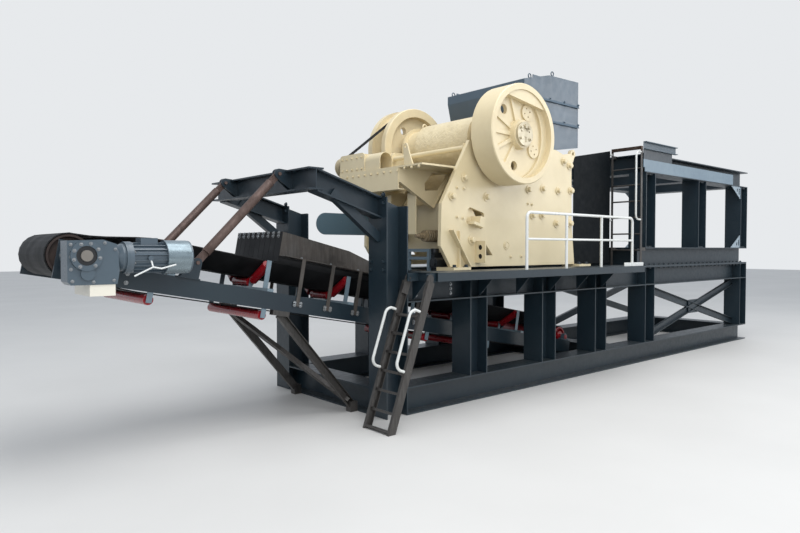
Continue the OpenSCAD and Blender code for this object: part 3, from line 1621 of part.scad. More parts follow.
// Guard plate with a round end, fixed inside the far side plate behind the crusher
module rear_guard() {
  half = (guard_z[1] - guard_z[0]) / 2;
  translate([0, cheek_in - seat, 0])
    rotate([90, 0, 0])
      linear_extrude(hood_t) {
        translate([guard_x0 + half, guard_z[0] + half])
          circle(r = half, $fn = round_n);
        translate([guard_x0 + half, guard_z[0]])
          square([cheek_points[2][0] + 60 - guard_x0 - half, 2 * half]);
      }
}

// Chute between the feeder support and the crusher
chute_t = 12;
chute_x1 = up_x - handle_out - handle_r - 13;
chute_y = 790;

module transfer_chute() color(slate) {
  for (s = [-1, 1])
    plate_xz([[-760, foot_z + seat], [-760, 3690], [chute_x1, 3900],
              [chute_x1, foot_z + seat]],
             s > 0 ? chute_y - chute_t : -chute_y, s > 0 ? chute_y : -chute_y + chute_t);
  plate_xz([[-760, 3500], [-760, 3480], [chute_x1, 3720], [chute_x1, 3740]],
           -chute_y + 1, chute_y - 1);
}

base_beams();
columns();
deck_beams();
frame_braces();
deck_plates();
walkway();
handrail();
lower_ladder();
grab_rails();
gantry();
tie_rods();
upper_beams();
upper_posts();
feeder_plates();
upper_ladder();
conveyor_stringers();
raking_braces();
idler_brackets();
carrying_rollers();
return_rollers();
tail_drum();
drum_bearings();
conveyor_belt();
skirt_plates();
rubber_curtain();
gear_unit();
drive_motor();
head_drum();
side_plates();
crusher_frame();
jaw_plates();
pitman();
bearing_housings();
toggle_gear();
tension_spring();
motor_shelf();
shelf_boxes();
drive_sheave();
v_belts();
grease_pipe();
feed_hood();
transfer_chute();
eccentric_shaft();
near_flywheel();
far_flywheel();
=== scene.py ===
"""Finishes, small fasteners, springs, lifting eyes and studio for the jaw crusher plant."""

import json
import math

import bmesh
import bpy
from bpy.props import FloatProperty, FloatVectorProperty, PointerProperty, StringProperty
from mathutils import Matrix, Vector


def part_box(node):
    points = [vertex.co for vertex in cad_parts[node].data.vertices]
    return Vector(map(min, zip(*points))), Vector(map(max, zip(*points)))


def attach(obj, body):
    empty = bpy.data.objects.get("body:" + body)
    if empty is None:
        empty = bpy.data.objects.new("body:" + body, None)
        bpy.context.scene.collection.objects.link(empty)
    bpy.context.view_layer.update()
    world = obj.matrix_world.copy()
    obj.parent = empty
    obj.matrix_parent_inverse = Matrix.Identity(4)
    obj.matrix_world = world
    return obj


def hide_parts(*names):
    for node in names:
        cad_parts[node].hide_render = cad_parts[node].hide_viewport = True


bl_info = {
    "name": "Jaw crusher plant dressing",
    "version": (1, 0, 0),
    "blender": (4, 5, 0),
    "location": "View3D > Sidebar > Crusher",
    "description": "Paint, rubber and steel finishes, bolts, springs and studio for a jaw crusher plant",
    "category": "Object",
}

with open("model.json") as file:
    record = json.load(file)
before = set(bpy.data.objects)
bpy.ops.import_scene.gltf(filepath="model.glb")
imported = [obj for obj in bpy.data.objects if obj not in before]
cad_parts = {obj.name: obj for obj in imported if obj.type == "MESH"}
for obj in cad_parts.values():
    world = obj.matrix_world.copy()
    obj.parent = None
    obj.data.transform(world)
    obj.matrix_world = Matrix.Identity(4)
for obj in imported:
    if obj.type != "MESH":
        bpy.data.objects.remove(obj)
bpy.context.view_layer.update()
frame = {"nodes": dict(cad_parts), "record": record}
NODES = frame["nodes"]
JOINTS = {j["name"]: j["pos_m"] for j in frame["record"]["behaviour"]["joints"]}
MM = 0.001
PLANT = "plant"
WHEELS = "flywheels"
WHEEL_X, _, WHEEL_Z = (v / MM for v in JOINTS["flywheel_spin"])
HEAD_X, _, HEAD_Z = (v / MM for v in JOINTS["head_drum_spin"])


def linear(code):
    """Turn an sRGB hex colour into the linear values that a shader takes."""
    parts = [int(code[i : i + 2], 16) / 255 for i in (1, 3, 5)]
    return tuple(c / 12.92 if c <= 0.04045 else ((c + 0.055) / 1.055) ** 2.4 for c in parts) + (1.0,)


def add(tree, kind, inputs=None, **settings):
    """Add a node, apply its settings, and fill or link its inputs."""
    node = tree.nodes.new(kind)
    for key, value in settings.items():
        setattr(node, key, value)
    for key, value in (inputs or {}).items():
        if isinstance(value, bpy.types.NodeSocket):
            tree.links.new(value, node.inputs[key])
        else:
            node.inputs[key].default_value = value
    return node


def new_surface(name):
    """An empty node material with its shader and object coordinates."""
    mat = bpy.data.materials.new(name)
    mat.use_nodes = True
    tree = mat.node_tree
    tree.nodes.clear()
    out = add(tree, "ShaderNodeOutputMaterial")
    shader = add(tree, "ShaderNodeBsdfPrincipled")
    tree.links.new(shader.outputs["BSDF"], out.inputs["Surface"])
    coords = add(tree, "ShaderNodeTexCoord").outputs["Object"]
    return mat, tree, shader, coords


def grain(tree, coords, size_mm, detail=4.0, rough=0.55):
    """Noise with features of a real size in millimetres."""
    return add(
        tree,
        "ShaderNodeTexNoise",
        {"Vector": coords, "Scale": 1000.0 / size_mm, "Detail": detail, "Roughness": rough},
    ).outputs["Fac"]


def mix(tree, factor, a, b):
    """Mix two colours and hand back the result."""
    return add(tree, "ShaderNodeMix", {0: factor, 6: a, 7: b}, data_type="RGBA").outputs[2]


def shaded(colour, share):
    """A linear colour with its light cut to a share."""
    return tuple(share * c for c in colour[:3]) + (1.0,)


def span(tree, value, low, high, to_low=0.0, to_high=1.0):
    """Stretch a value from one range onto another, clamped."""
    return add(
        tree,
        "ShaderNodeMapRange",
        {"Value": value, "From Min": low, "From Max": high, "To Min": to_low, "To Max": to_high},
    ).outputs["Result"]


def math_node(tree, operation, a, b=0.0):
    """One sum, product or comparison of two numbers."""
    return add(tree, "ShaderNodeMath", {0: a, 1: b}, operation=operation).outputs[0]


def inside(tree, coords, low, high):
    """One where a point lies in a box given in mm, else nought."""
    middle = tuple((a + b) / 2 * MM for a, b in zip(low, high))
    moved = add(tree, "ShaderNodeVectorMath", {0: coords, 1: middle}, operation="SUBTRACT").outputs[0]
    spread = add(tree, "ShaderNodeVectorMath", {0: moved}, operation="ABSOLUTE").outputs[0]
    sides = add(tree, "ShaderNodeSeparateXYZ", {0: spread}).outputs
    reach = [(b - a) / 2 * MM for a, b in zip(low, high)]
    within = [math_node(tree, "LESS_THAN", side, limit) for side, limit in zip(sides, reach)]
    return math_node(tree, "MULTIPLY", math_node(tree, "MULTIPLY", within[0], within[1]), within[2])


def zoned(tree, coords, body, zones):
    """Lay other colours over the body's colour, each within its box in mm."""
    for colour, low, high in zones:
        body = mix(tree, inside(tree, coords, low, high), body, linear(colour))
    return body


def raise_skin(tree, shader, height, depth_mm, strength):
    """Roughen the skin by a height map of a real depth in mm."""
    bump = add(tree, "ShaderNodeBump", {"Height": height, "Distance": depth_mm * MM, "Strength": strength})
    tree.links.new(bump.outputs["Normal"], shader.inputs["Normal"])


def painted_steel(
    name, coat, patch, dust, dust_share, rough, grain_mm, depth_mm, gloss, zones=(), glint=0.5
):
    """Shop-sprayed enamel on rolled or cast steel: uneven film, dust on the level faces, small chips."""
    mat, tree, shader, coords = new_surface(name)
    cloud = grain(tree, coords, 900, 5, 0.6)
    fine = grain(tree, coords, grain_mm, 6, 0.6)
    body = mix(tree, span(tree, cloud, 0.35, 0.7, 0, 0.75), linear(coat), linear(patch))
    body = zoned(tree, coords, body, zones)
    chip = span(tree, grain(tree, coords, 70, 9, 0.75), 0.665, 0.69, 0, 0.45)
    body = mix(tree, chip, body, linear(dust))
    normal = add(tree, "ShaderNodeNewGeometry").outputs["Normal"]
    level = span(tree, add(tree, "ShaderNodeSeparateXYZ", {0: normal}).outputs["Z"], 0.6, 0.98)
    drifts = span(tree, grain(tree, coords, 240, 7, 0.7), 0.3, 0.7)
    settled = math_node(tree, "MULTIPLY", level, drifts)
    amount = math_node(tree, "MULTIPLY", settled, dust_share)
    tree.links.new(mix(tree, amount, body, linear(dust)), shader.inputs["Base Color"])
    sheen = span(tree, fine, 0.3, 0.7, rough - 0.06, rough + 0.12)
    dulled = math_node(tree, "ADD", sheen, span(tree, amount, 0, 1, 0, 0.4))
    tree.links.new(dulled, shader.inputs["Roughness"])
    raise_skin(tree, shader, fine, depth_mm, 0.6)
    shader.inputs["Specular IOR Level"].default_value = glint
    shader.inputs["Coat Weight"].default_value = gloss
    shader.inputs["Coat Roughness"].default_value = 0.22
    return mat


def bare_steel(
    name, base, stain, rough, stain_share, streak_mm=(18, 18, 220), metallic=0.85, zones=()
):
    """Hot-rolled or turned steel without paint: grey with brown stains and long streaks."""
    mat, tree, shader, coords = new_surface(name)
    stretched = add(
        tree, "ShaderNodeMapping", {"Vector": coords, "Scale": tuple(1000.0 / s for s in streak_mm)}
    ).outputs["Vector"]
    streak = add(
        tree, "ShaderNodeTexNoise", {"Vector": stretched, "Scale": 1.0, "Detail": 5.0}
    ).outputs["Fac"]
    cloud = grain(tree, coords, 260, 8, 0.65)
    worn = math_node(tree, "MULTIPLY", span(tree, cloud, 0.4, 0.68), stain_share)
    steel = mix(tree, span(tree, streak, 0.35, 0.65), linear(base), shaded(linear(base), 0.7))
    steel = zoned(tree, coords, steel, zones)
    tree.links.new(mix(tree, worn, steel, linear(stain)), shader.inputs["Base Color"])
    tree.links.new(span(tree, worn, 0, 0.7, rough - 0.08, rough + 0.3), shader.inputs["Roughness"])
    tree.links.new(span(tree, worn, 0, 0.7, metallic, 0.2), shader.inputs["Metallic"])
    raise_skin(tree, shader, cloud, 0.4, 0.5)
    return mat


def vulcanised_rubber(name, base, worn, groove_scale=0.0, zones=()):
    """Calendered rubber: near black, dull, greyed by stone dust; lagging has fine slanting grooves."""
    mat, tree, shader, coords = new_surface(name)
    cloud = grain(tree, coords, 320, 7, 0.65)
    body = mix(tree, span(tree, cloud, 0.35, 0.7), linear(base), linear(worn))
    tree.links.new(zoned(tree, coords, body, zones), shader.inputs["Base Color"])
    tree.links.new(span(tree, cloud, 0.3, 0.7, 0.5, 0.78), shader.inputs["Roughness"])
    shader.inputs["Specular IOR Level"].default_value = 0.3
    height = grain(tree, coords, 14, 4, 0.5)
    if groove_scale:
        height = add(
            tree,
            "ShaderNodeTexWave",
            {"Vector": coords, "Scale": groove_scale, "Distortion": 0.6},
            bands_direction="DIAGONAL",
        ).outputs["Fac"]
    raise_skin(tree, shader, height, 2.5 if groove_scale else 0.6, 0.7)
    return mat


FINISHES = {}
# A side of a colour zone with nothing beyond it, and the right end of the kerb plates, in mm
FAR = 9999
KERB_END = 1741


def make_finishes(paint):
    """Make every material once, from what the real surface is."""
    FINISHES.update(
        # two-pack enamel on hot-rolled beams: deep slate blue, half gloss, brown shop dust on top
        slate=painted_steel(
            "two_pack_enamel_slate", paint.slate, "#13202A", "#55524B", 0.3, 0.38, 70, 0.6, 0.12
        ),
        # the chute's sheet: the same enamel with painted shade, its colours set near black as if it stood
        # in shadow
        chute=painted_steel(
            "chute_enamel_painted_shade", "#0A1014", "#070B0E", "#1E1E1D", 0.25, 0.6, 120, 0.8, 0.0,
            glint=0.12,
        ),
        # the same enamel in a paler grey-blue on sheet metal
        pale=painted_steel(
            "sheet_enamel_grey_blue", paint.pale, "#55656F", "#8E897F", 0.35, 0.38, 90, 0.8, 0.15
        ),
        # grey-blue enamel on the hood's sheet, a shade greener on the guard behind the crusher
        hood=painted_steel(
            "hood_enamel_slate", "#465765", "#3A4955", "#6F7276", 0.3, 0.36, 120, 0.8, 0.2,
            zones=(("#465C67", (-FAR, 700, 2200), (-3900, 900, 2700)),),
        ),
        # pale side plates of the feeder support, with a dark kerb plate over their left end
        feeder=painted_steel(
            "feeder_enamel_grey_blue", paint.pale, "#5F7281", "#9A958A", 0.35, 0.38, 90, 0.8, 0.15,
            zones=(
                ("#222D35", (0, -FAR, 3725), (KERB_END, FAR, 3905)),
                ("#45545F", (0, -FAR, 3904), (1900, FAR, FAR)),
                ("#8D9CA6", (4598, -FAR, 2000), (FAR, FAR, FAR)),
            ),
        ),
        # cream enamel over sand-cast steel: a pebbled skin shows through the film
        cast=painted_steel(
            "cream_enamel_on_casting", paint.cream, "#C6B48D", "#A99F88", 0.22, 0.4, 22, 1.8, 0.2
        ),
        # the same enamel over the rough skin of the big barrel, with lumps left by the mould
        barrel=painted_steel(
            "cream_enamel_on_rough_casting", paint.cream, "#BDAB84", "#A99F88", 0.2, 0.42, 130, 45, 0.2
        ),
        # cream enamel over flame-cut plate: flatter, with broad clouds from the spray gun
        plate=painted_steel(
            "cream_enamel_on_plate", paint.cream, "#C8B892", "#ABA08A", 0.25, 0.36, 55, 0.6, 0.25
        ),
        # gloss white enamel on pipe, only slightly greyed by hands
        white=painted_steel(
            "white_enamel_on_pipe", "#D3D5D3", "#BFC0BB", "#A8A296", 0.2, 0.28, 120, 0.2, 0.4
        ),
        # gloss red enamel of bought-in rollers, black where rubber dust sits
        red=painted_steel("red_roller_enamel", "#97121D", "#6E0D15", "#5E4440", 0.35, 0.28, 60, 0.2, 0.4),
        # primer on the tension gear: olive brown, flat
        primer=painted_steel("oxide_primer", "#948468", "#6E6150", "#8C8070", 0.3, 0.5, 30, 0.3, 0.0),
        # blue-grey enamel over an iron casting: cream bracket below, near black pump, and painted shade in
        # the shaft's recess
        gear=painted_steel(
            "gearbox_enamel_on_cast_iron_with_painted_shade", "#485660", "#3C4952", "#6A6C6D", 0.25, 0.34, 18, 0.8, 0.25,
            zones=(
                ("#DDD8CA", (-FAR, -FAR, 1500), (-8400, -600, HEAD_Z - 261)),
                ("#24282C", (-4100, -700, 1700), (-3500, -200, 2200)),
                # painted shade: near black inside the hollow shaft's recess
                ("#16181A", (HEAD_X - 90, -1158, HEAD_Z - 90), (HEAD_X + 90, -1140, HEAD_Z + 90)),
            ),
        ),
        # the same enamel, a shade lighter, on the motor's finned body
        motor=painted_steel("motor_enamel", "#4B5862", "#3F4B54", "#6D7173", 0.25, 0.32, 24, 0.5, 0.35),
        # hot-rolled steel with mill scale, browner at the top of the upright ladder
        mill=bare_steel(
            "hot_rolled_steel", "#5C5A58", "#393430", 0.42, 0.75,
            zones=(("#4A3A30", (0, -FAR, 3880), (FAR, FAR, FAR)),),
        ),
        # sheet steel as rolled: grey with rust stains and grinder marks
        rolled=bare_steel("rolled_sheet_steel", "#64605C", "#3B332D", 0.38, 0.7, (22, 22, 200), 0.7),
        # pipe left out in the yard: thin even rust
        rust=bare_steel("rusted_pipe", "#6A5750", "#3F302A", 0.5, 0.95, (30, 30, 400), 0.35),
        # cast manganese steel of the jaws
        manganese=bare_steel("manganese_casting", "#6B6864", "#4C423B", 0.5, 0.6, (40, 40, 40), 0.7),
        # turned and greased shaft ends under a thin cream overspray
        turned=bare_steel("turned_steel", "#C9BFA6", "#A8987A", 0.38, 0.45, (4, 90, 4), 0.35),
        # zinc-plated bolts
        zinc=bare_steel("zinc_plated_steel", "#9EA2A5", "#77736D", 0.34, 0.3, (12, 12, 12), 0.9),
        # pressed sheet of the fan cowl, polished by handling
        sheet=bare_steel("bright_sheet_steel", "#8D9CA3", "#66747B", 0.26, 0.4, (300, 300, 40), 0.75),
        # pale grey-blue enamel of the idler brackets
        bracket=painted_steel(
            "idler_bracket_enamel", "#73858F", "#5E6E78", "#6A6B6A", 0.3, 0.36, 50, 0.4, 0.25
        ),
        # conveyor belting: matt black with grey dust in the trough
        belting=vulcanised_rubber("belt_cover_rubber", "#0C0D0F", "#1E1F21"),
        # drum lagging with grooves, and the bare ends of the drum's shaft
        lagging=vulcanised_rubber(
            "grooved_lagging_rubber", "#2C2422", "#433732", 4.17711,
            (
                ("#74706A", (-FAR, -FAR, 0), (FAR, -600, FAR)),
                ("#74706A", (-FAR, 600, 0), (FAR, FAR, FAR)),
            ),
        ),
    )


WEARS = {
    "slate": "base_beams columns deck_beams frame_braces walkway gantry upper_beams upper_posts "
    "conveyor_stringers",
    "chute": "transfer_chute",
    "pale": "deck_plates",
    "feeder": "feeder_plates",
    "hood": "feed_hood",
    "bracket": "idler_brackets",
    "white": "handrail grab_rails",
    "mill": "lower_ladder upper_ladder raking_braces",
    "rolled": "skirt_plates",
    "rust": "tie_rods",
    "red": "carrying_rollers return_rollers tail_drum",
    "lagging": "head_drum",
    "gear": "gear_unit drum_bearings",
    "motor": "drive_motor",
    "belting": "conveyor_belt rubber_curtain v_belts",
    "plate": "side_plates crusher_frame toggle_gear motor_shelf shelf_boxes grease_pipe",
    "cast": "bearing_housings near_flywheel far_flywheel",
    "barrel": "pitman",
    "primer": "tension_spring",
    "manganese": "jaw_plates",
    "turned": "eccentric_shaft drive_sheave",
}


def wear(piece, finish):
    """Give a piece one finish on all its faces."""
    piece.data.materials.clear()
    piece.data.materials.append(FINISHES[finish])


def settle(piece, body, finish=None, replaced=()):
    """Fasten a finished piece to its body."""
    if finish:
        wear(piece, finish)
    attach(piece, body)
    if replaced:
        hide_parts(*replaced)
    return piece


def linked(name, data):
    """A new object in the scene, at the origin."""
    piece = bpy.data.objects.new(name, data)
    bpy.context.scene.collection.objects.link(piece)
    return piece


def to_object(name, mesh_builder):
    """Make one object from a bmesh."""
    mesh = bpy.data.meshes.new(name)
    bmesh.ops.remove_doubles(mesh_builder, verts=mesh_builder.verts, dist=1e-6)
    bmesh.ops.recalc_face_normals(mesh_builder, faces=mesh_builder.faces)
    mesh_builder.to_mesh(mesh)
    mesh_builder.free()
    return linked(name, mesh)


def soften(piece, degrees=35):
    """Smooth the faces whose edges are shallow."""
    for face in piece.data.polygons:
        face.use_smooth = True
    piece.data.set_sharp_from_angle(angle=math.radians(degrees))


def cast_points(name, spots):
    """A mesh of single points in mm with the way each fastener faces and its size."""
    mesh = bpy.data.meshes.new(name)
    mesh.from_pydata([Vector(p) * MM for p, _, _ in spots], [], [])
    facing = mesh.attributes.new("facing", "FLOAT_VECTOR", "POINT")
    facing.data.foreach_set("vector", [c for _, way, _ in spots for c in Vector(way).normalized()])
    width = mesh.attributes.new("width", "FLOAT", "POINT")
    width.data.foreach_set("value", [across * MM for _, _, across in spots])
    return linked(name, mesh)


def group_with(name, numbers):
    """A geometry tree with a geometry input, named number inputs and a material input."""
    tree = bpy.data.node_groups.new(name, "GeometryNodeTree")
    tree.interface.new_socket("Geometry", in_out="INPUT", socket_type="NodeSocketGeometry")
    for label, value in numbers.items():
        socket = tree.interface.new_socket(label, in_out="INPUT", socket_type="NodeSocketFloat")
        socket.default_value = value
    tree.interface.new_socket("Finish", in_out="INPUT", socket_type="NodeSocketMaterial")
    tree.interface.new_socket("Geometry", in_out="OUTPUT", socket_type="NodeSocketGeometry")
    return tree, add(tree, "NodeGroupInput").outputs


def close_group(tree, geometry, finish):
    """Realise, set the material and send out the result."""
    real = add(tree, "GeometryNodeRealizeInstances", {"Geometry": geometry}).outputs[0]
    done = add(tree, "GeometryNodeSetMaterial", {"Geometry": real, "Material": finish}).outputs[0]
    add(tree, "NodeGroupOutput", {"Geometry": done})


def hex_bolt_tree():
    """Hexagon heads with washers on points, each sized and turned by its attributes."""
    tree, ins = group_with("hex_bolts", {"Head height": 0.62, "Washer height": 0.14})
    head, washer = ins["Head height"], ins["Washer height"]
    head_middle = math_node(tree, "ADD", washer, math_node(tree, "MULTIPLY", head, 0.5))
    head_top = math_node(tree, "ADD", washer, head)
    washer_middle = math_node(tree, "MULTIPLY", washer, 0.5)
    joined = add(tree, "GeometryNodeJoinGeometry")
    for kind, outline, height in (
        ("Cylinder", {"Vertices": 6, "Radius": 0.577, "Depth": head}, head_middle),
        ("Cone", {"Vertices": 12, "Radius Top": 0.4, "Radius Bottom": 0.5, "Depth": 0.07}, head_top),
        ("Cylinder", {"Vertices": 14, "Radius": 0.95, "Depth": washer}, washer_middle),
    ):
        solid = add(tree, "GeometryNodeMesh" + kind, outline).outputs[0]
        lift = add(tree, "ShaderNodeCombineXYZ", {"Z": height}).outputs[0]
        raised = add(tree, "GeometryNodeTransform", {"Geometry": solid, "Translation": lift}).outputs[0]
        tree.links.new(raised, joined.inputs[0])
    facing = add(
        tree, "GeometryNodeInputNamedAttribute", {"Name": "facing"}, data_type="FLOAT_VECTOR"
    ).outputs[0]
    width = add(tree, "GeometryNodeInputNamedAttribute", {"Name": "width"}, data_type="FLOAT").outputs[0]
    turned = add(tree, "FunctionNodeAlignRotationToVector", {"Vector": facing}, axis="Z").outputs[0]
    size = add(tree, "ShaderNodeCombineXYZ", {"X": width, "Y": width, "Z": width}).outputs[0]
    placed = add(
        tree,
        "GeometryNodeInstanceOnPoints",
        {"Points": ins["Geometry"], "Instance": joined.outputs[0], "Rotation": turned, "Scale": size},
    ).outputs[0]
    close_group(tree, placed, ins["Finish"])
    return tree


def coil_tree():
    """A wound spring: a spiral swept with a round bar."""
    tree, ins = group_with(
        "coil_spring", {"Turns": 8.0, "Coil radius": 0.08, "Length": 0.4, "Bar radius": 0.016}
    )
    spiral = add(
        tree,
        "GeometryNodeCurveSpiral",
        {
            "Resolution": 24,
            "Rotations": ins["Turns"],
            "Start Radius": ins["Coil radius"],
            "End Radius": ins["Coil radius"],
            "Height": ins["Length"],
        },
    ).outputs[0]
    ring = add(
        tree, "GeometryNodeCurvePrimitiveCircle", {"Resolution": 12, "Radius": ins["Bar radius"]}
    ).outputs[0]
    bar = add(
        tree, "GeometryNodeCurveToMesh", {"Curve": spiral, "Profile Curve": ring, "Fill Caps": True}
    ).outputs[0]
    close_group(tree, bar, ins["Finish"])
    return tree


def grown(name, seed, tree, finish, numbers=None):
    """Run a geometry tree on an object and hand back its plain mesh as a new object."""
    mod = seed.modifiers.new("grow", "NODES")
    mod.node_group = tree
    values = {**(numbers or {}), "Finish": FINISHES[finish]}
    for item in tree.interface.items_tree:
        if item.in_out == "INPUT" and item.name in values:
            mod[item.identifier] = values[item.name]
    bpy.context.view_layer.update()
    shape = seed.evaluated_get(bpy.context.evaluated_depsgraph_get())
    mesh = bpy.data.meshes.new_from_object(shape)
    mesh.name = name
    seed.modifiers.remove(mod)
    bpy.data.objects.remove(seed)
    return linked(name, mesh)


def bolt_set(name, spots, finish, body=PLANT, numbers=None):
    """Grow one set of bolts on one body."""
    tree = bpy.data.node_groups.get("hex_bolts") or hex_bolt_tree()
    piece = grown(name, cast_points(name + "_points", spots), tree, finish, numbers)
    return settle(piece, body)


def shaped(name, shape, finish, smooth=35, replaced=()):
    """Finish one built shape as a piece of the plant."""
    piece = to_object(name, shape)
    if smooth:
        soften(piece, smooth)
    return settle(piece, PLANT, finish, replaced)


def skin(shape, rings):
    """Join each ring of corners to the next one with four-sided faces."""
    for a, b in zip(rings, rings[1:]):
        for k in range(len(a)):
            n = (k + 1) % len(a)
            shape.faces.new((a[k], a[n], b[n], b[k]))


def skin_and_ends(shape, rings):
    """Join the rings and close the first and the last."""
    skin(shape, rings)
    shape.faces.new(rings[0])
    shape.faces.new(reversed(rings[-1]))


def on_circle(x, z, radius, degrees):
    """A point on a circle round a centre, in mm."""
    a = math.radians(degrees)
    return x + radius * math.cos(a), z + radius * math.sin(a)


def put_in_scene(name, data, place, aim):
    """Set a lamp or a camera in its place, turned along its aim."""
    holder = linked(name, data)
    holder.location = place
    holder.rotation_mode = "QUATERNION"
    holder.rotation_quaternion = aim.to_track_quat("-Z", "Y")
    return holder


def block(shape, low, high, edge, place):
    """Add a box in mm with its edges bevelled, put in place by a function."""
    made = bmesh.ops.create_cube(shape, size=1.0)["verts"]
    for vert in made:
        vert.co = Vector([low[i] if vert.co[i] < 0 else high[i] for i in range(3)])
    edges = {e for v in made for e in v.link_edges}
    cut = bmesh.ops.bevel(
        shape, geom=list(edges), offset=edge, offset_type="OFFSET", segments=2, profile=0.5,
        affect="EDGES",
    )
    for vert in {v for f in cut["faces"] for v in f.verts} | {v for v in made if v.is_valid}:
        vert.co = Vector(place(*vert.co)) * MM


def flare(shape, ends, side, y, top, parts=24):
    """Add the bent lower edge of a sheet strip, which waves a little along its length, in mm."""
    rows = []
    for i in range(parts + 1):
        x = ends[0] + (ends[1] - ends[0]) * i / parts
        out = 17 + 6 * math.sin(i * 0.9) + 3 * math.sin(i * 2.3)
        profile = ((y, top + 6), (y + out, top - 34), (y + out - 5, top - 36), (y - 1, top - 2))
        rows.append([shape.verts.new(Vector((x, side * b, z)) * MM) for b, z in profile])
    skin_and_ends(shape, rows)


def revolved(shape, start, profile, sides=64):
    """Add a ring turned round a level X axis through a point, from its outline in mm."""
    rings = []
    for i in range(sides):
        a = 2 * math.pi * i / sides
        c, s = math.cos(a), math.sin(a)
        ring = [(start[0] + x, start[1] + r * c, start[2] + r * s) for x, r in profile]
        rings.append([shape.verts.new(Vector(point) * MM) for point in ring])
    for i in range(sides):
        a, b = rings[i], rings[(i + 1) % sides]
        for k in range(len(profile)):
            n = (k + 1) % len(profile)
            shape.faces.new((a[k], b[k], b[n], a[n]))


def swept_ring(shape, centre, normal, radius, bar, steps=28, sides=12):
    """Add a round bar bent into a closed ring, in mm."""
    normal = Vector(normal).normalized()
    side = normal.orthogonal().normalized()
    up = normal.cross(side)
    rings = []
    for i in range(steps):
        a = math.radians(360 * i / steps)
        out = side * math.cos(a) + up * math.sin(a)
        middle = Vector(centre) + out * radius
        turns = [2 * math.pi * k / sides for k in range(sides)]
        ring = [middle + out * bar * math.cos(b) + normal * bar * math.sin(b) for b in turns]
        rings.append([shape.verts.new(point * MM) for point in ring])
    skin(shape, rings + rings[:1])


def round_bar(shape, start, end, radius, sides=16):
    """Add a straight round bar between two points in mm."""
    start, end = Vector(start), Vector(end)
    way = (end - start).normalized()
    side = way.orthogonal().normalized()
    up = way.cross(side)
    rings = [
        [
            shape.verts.new((p + (side * math.cos(a) + up * math.sin(a)) * radius) * MM)
            for a in (2 * math.pi * k / sides for k in range(sides))
        ]
        for p in (start, end)
    ]
    skin_and_ends(shape, rings)


CONVEYOR_TILT = math.radians(10.76)
ALONG = (math.cos(CONVEYOR_TILT), 0, -math.sin(CONVEYOR_TILT))
UPWARD = (math.sin(CONVEYOR_TILT), 0, math.cos(CONVEYOR_TILT))


def on_conveyor(x, y, z):
    """A point given along the sloping conveyor, in mm of the whole plant."""
    return (HEAD_X + x * ALONG[0] + z * UPWARD[0], y, HEAD_Z + x * ALONG[2] + z * UPWARD[2])


# Places and faces of the solids that the small pieces sit on, in mm
LOOSE = 0.3
SIDES = (-1, 1)
POST_XS = (965, 3112, 5260)
BEAM_ROWS = (1250, 1010)
SILL_FLANGE, DECK_FLANGE = 1779, 1741
POST_TOP, POST_FOOT = 3490, 2110
GANTRY_FACE = -5435
FEET_ROW, FEET_TOP = 935, 1822
WALK_BRACKETS = (-5010, -4390, -3770, -2965, -2160, -1430, -700)
WALK_BRACKET_FACE = -1305
CHEEK_BOLTS = (
    (-3611, 3114), (-3863, 2834), (-3124, 2859), (-2123, 3026), (-1749, 3065), (-1330, 3057),
    (-972, 3078), (-2014, 2624), (-1771, 2632), (-1380, 2508), (-985, 2519), (-3456, 2217),
    (-1180, 3560), (-1010, 3500),
)
CHEEK_DOTS = (
    (-3760, 2960), (-3620, 2955), (-3760, 2540), (-3640, 2530), (-2140, 2800), (-2040, 2795),
    (-2560, 1960), (-2300, 1965),
)
CHEEK = 870.4
PLUG_X, PLUG_Z = -2668, 2136
HOUSING_FACE, HOUSING_CIRCLE = 900, 280
HOUSING_EYE_Y, HOUSING_EYE_Z = 760, 4150
FOOT_BORE_X, FOOT_BORE_Y = -3369, 970.1
HUB_FACE = -1382
SHELF_X, SHELF_Z = -4446, 3260
GEAR_COVER, GEAR_CASE = -1170, -1140
GEAR_CASE_BOLTS = (
    (-125, 100), (-125, -10), (-125, -120), (-115, -225), (60, -235), (235, -225), (250, 60), (160, 115),
)
DRUM_BEARING_FACE = 727
MOTOR_Y, MOTOR_Z = -1020, HEAD_Z - 20
MOTOR_FLANGE = -8355
STRINGER_WEB = 710
IDLER_START, IDLER_PITCH, IDLER_TOP = 956, 1176, -28
SKIRT_POSTS = (2513, 2949, 3381, 3901, 4450)
SKIRT_POST_FACE, SKIRT_FOOT = 720.3, 413
CURTAIN_FACE, CURTAIN_HALF, CURTAIN_STRIPS = 2242.4, 563, 9
HOOD_FACE = 862
HOOD_LAPS = (4220, 4560)
HOOD_ENDS = (-1998, -737)
HOOD_EYES = ((-2080, 4842), (-1480, 4978))


class FinishColours(bpy.types.PropertyGroup):
    """Colours of the main paints."""

    slate: StringProperty(name="Slate paint", description="Enamel of the steel frame", default="#1B2A32")
    pale: StringProperty(
        name="Grey-blue paint", description="Enamel of the deck and the side plates", default="#71838F"
    )
    cream: StringProperty(name="Cream paint", description="Enamel of the crusher", default="#D9CAA6")


class BoltSizes(bpy.types.PropertyGroup):
    """Sizes of the hexagon bolts, across flats."""

    frame_bolt: FloatProperty(
        name="Frame bolt", description="Across flats, in mm", default=36.0, min=20, max=60
    )
    cover_bolt: FloatProperty(
        name="Cover bolt", description="Across flats, in mm", default=30.0, min=18, max=46
    )
    cheek_bolt: FloatProperty(
        name="Side plate bolt", description="Across flats, in mm", default=75.0, min=40, max=110
    )
    small_bolt: FloatProperty(
        name="Small bolt", description="Across flats, in mm", default=24.0, min=12, max=36
    )


class SpringSizes(bpy.types.PropertyGroup):
    """Sizes of the two tension springs."""

    turns: FloatProperty(name="Turns", description="Number of coils", default=5.0, min=3, max=9)
    coil_radius: FloatProperty(
        name="Coil radius", description="To the middle of the bar", default=0.079, unit="LENGTH"
    )
    bar_radius: FloatProperty(
        name="Bar radius", description="Radius of the wound bar", default=0.014, unit="LENGTH"
    )


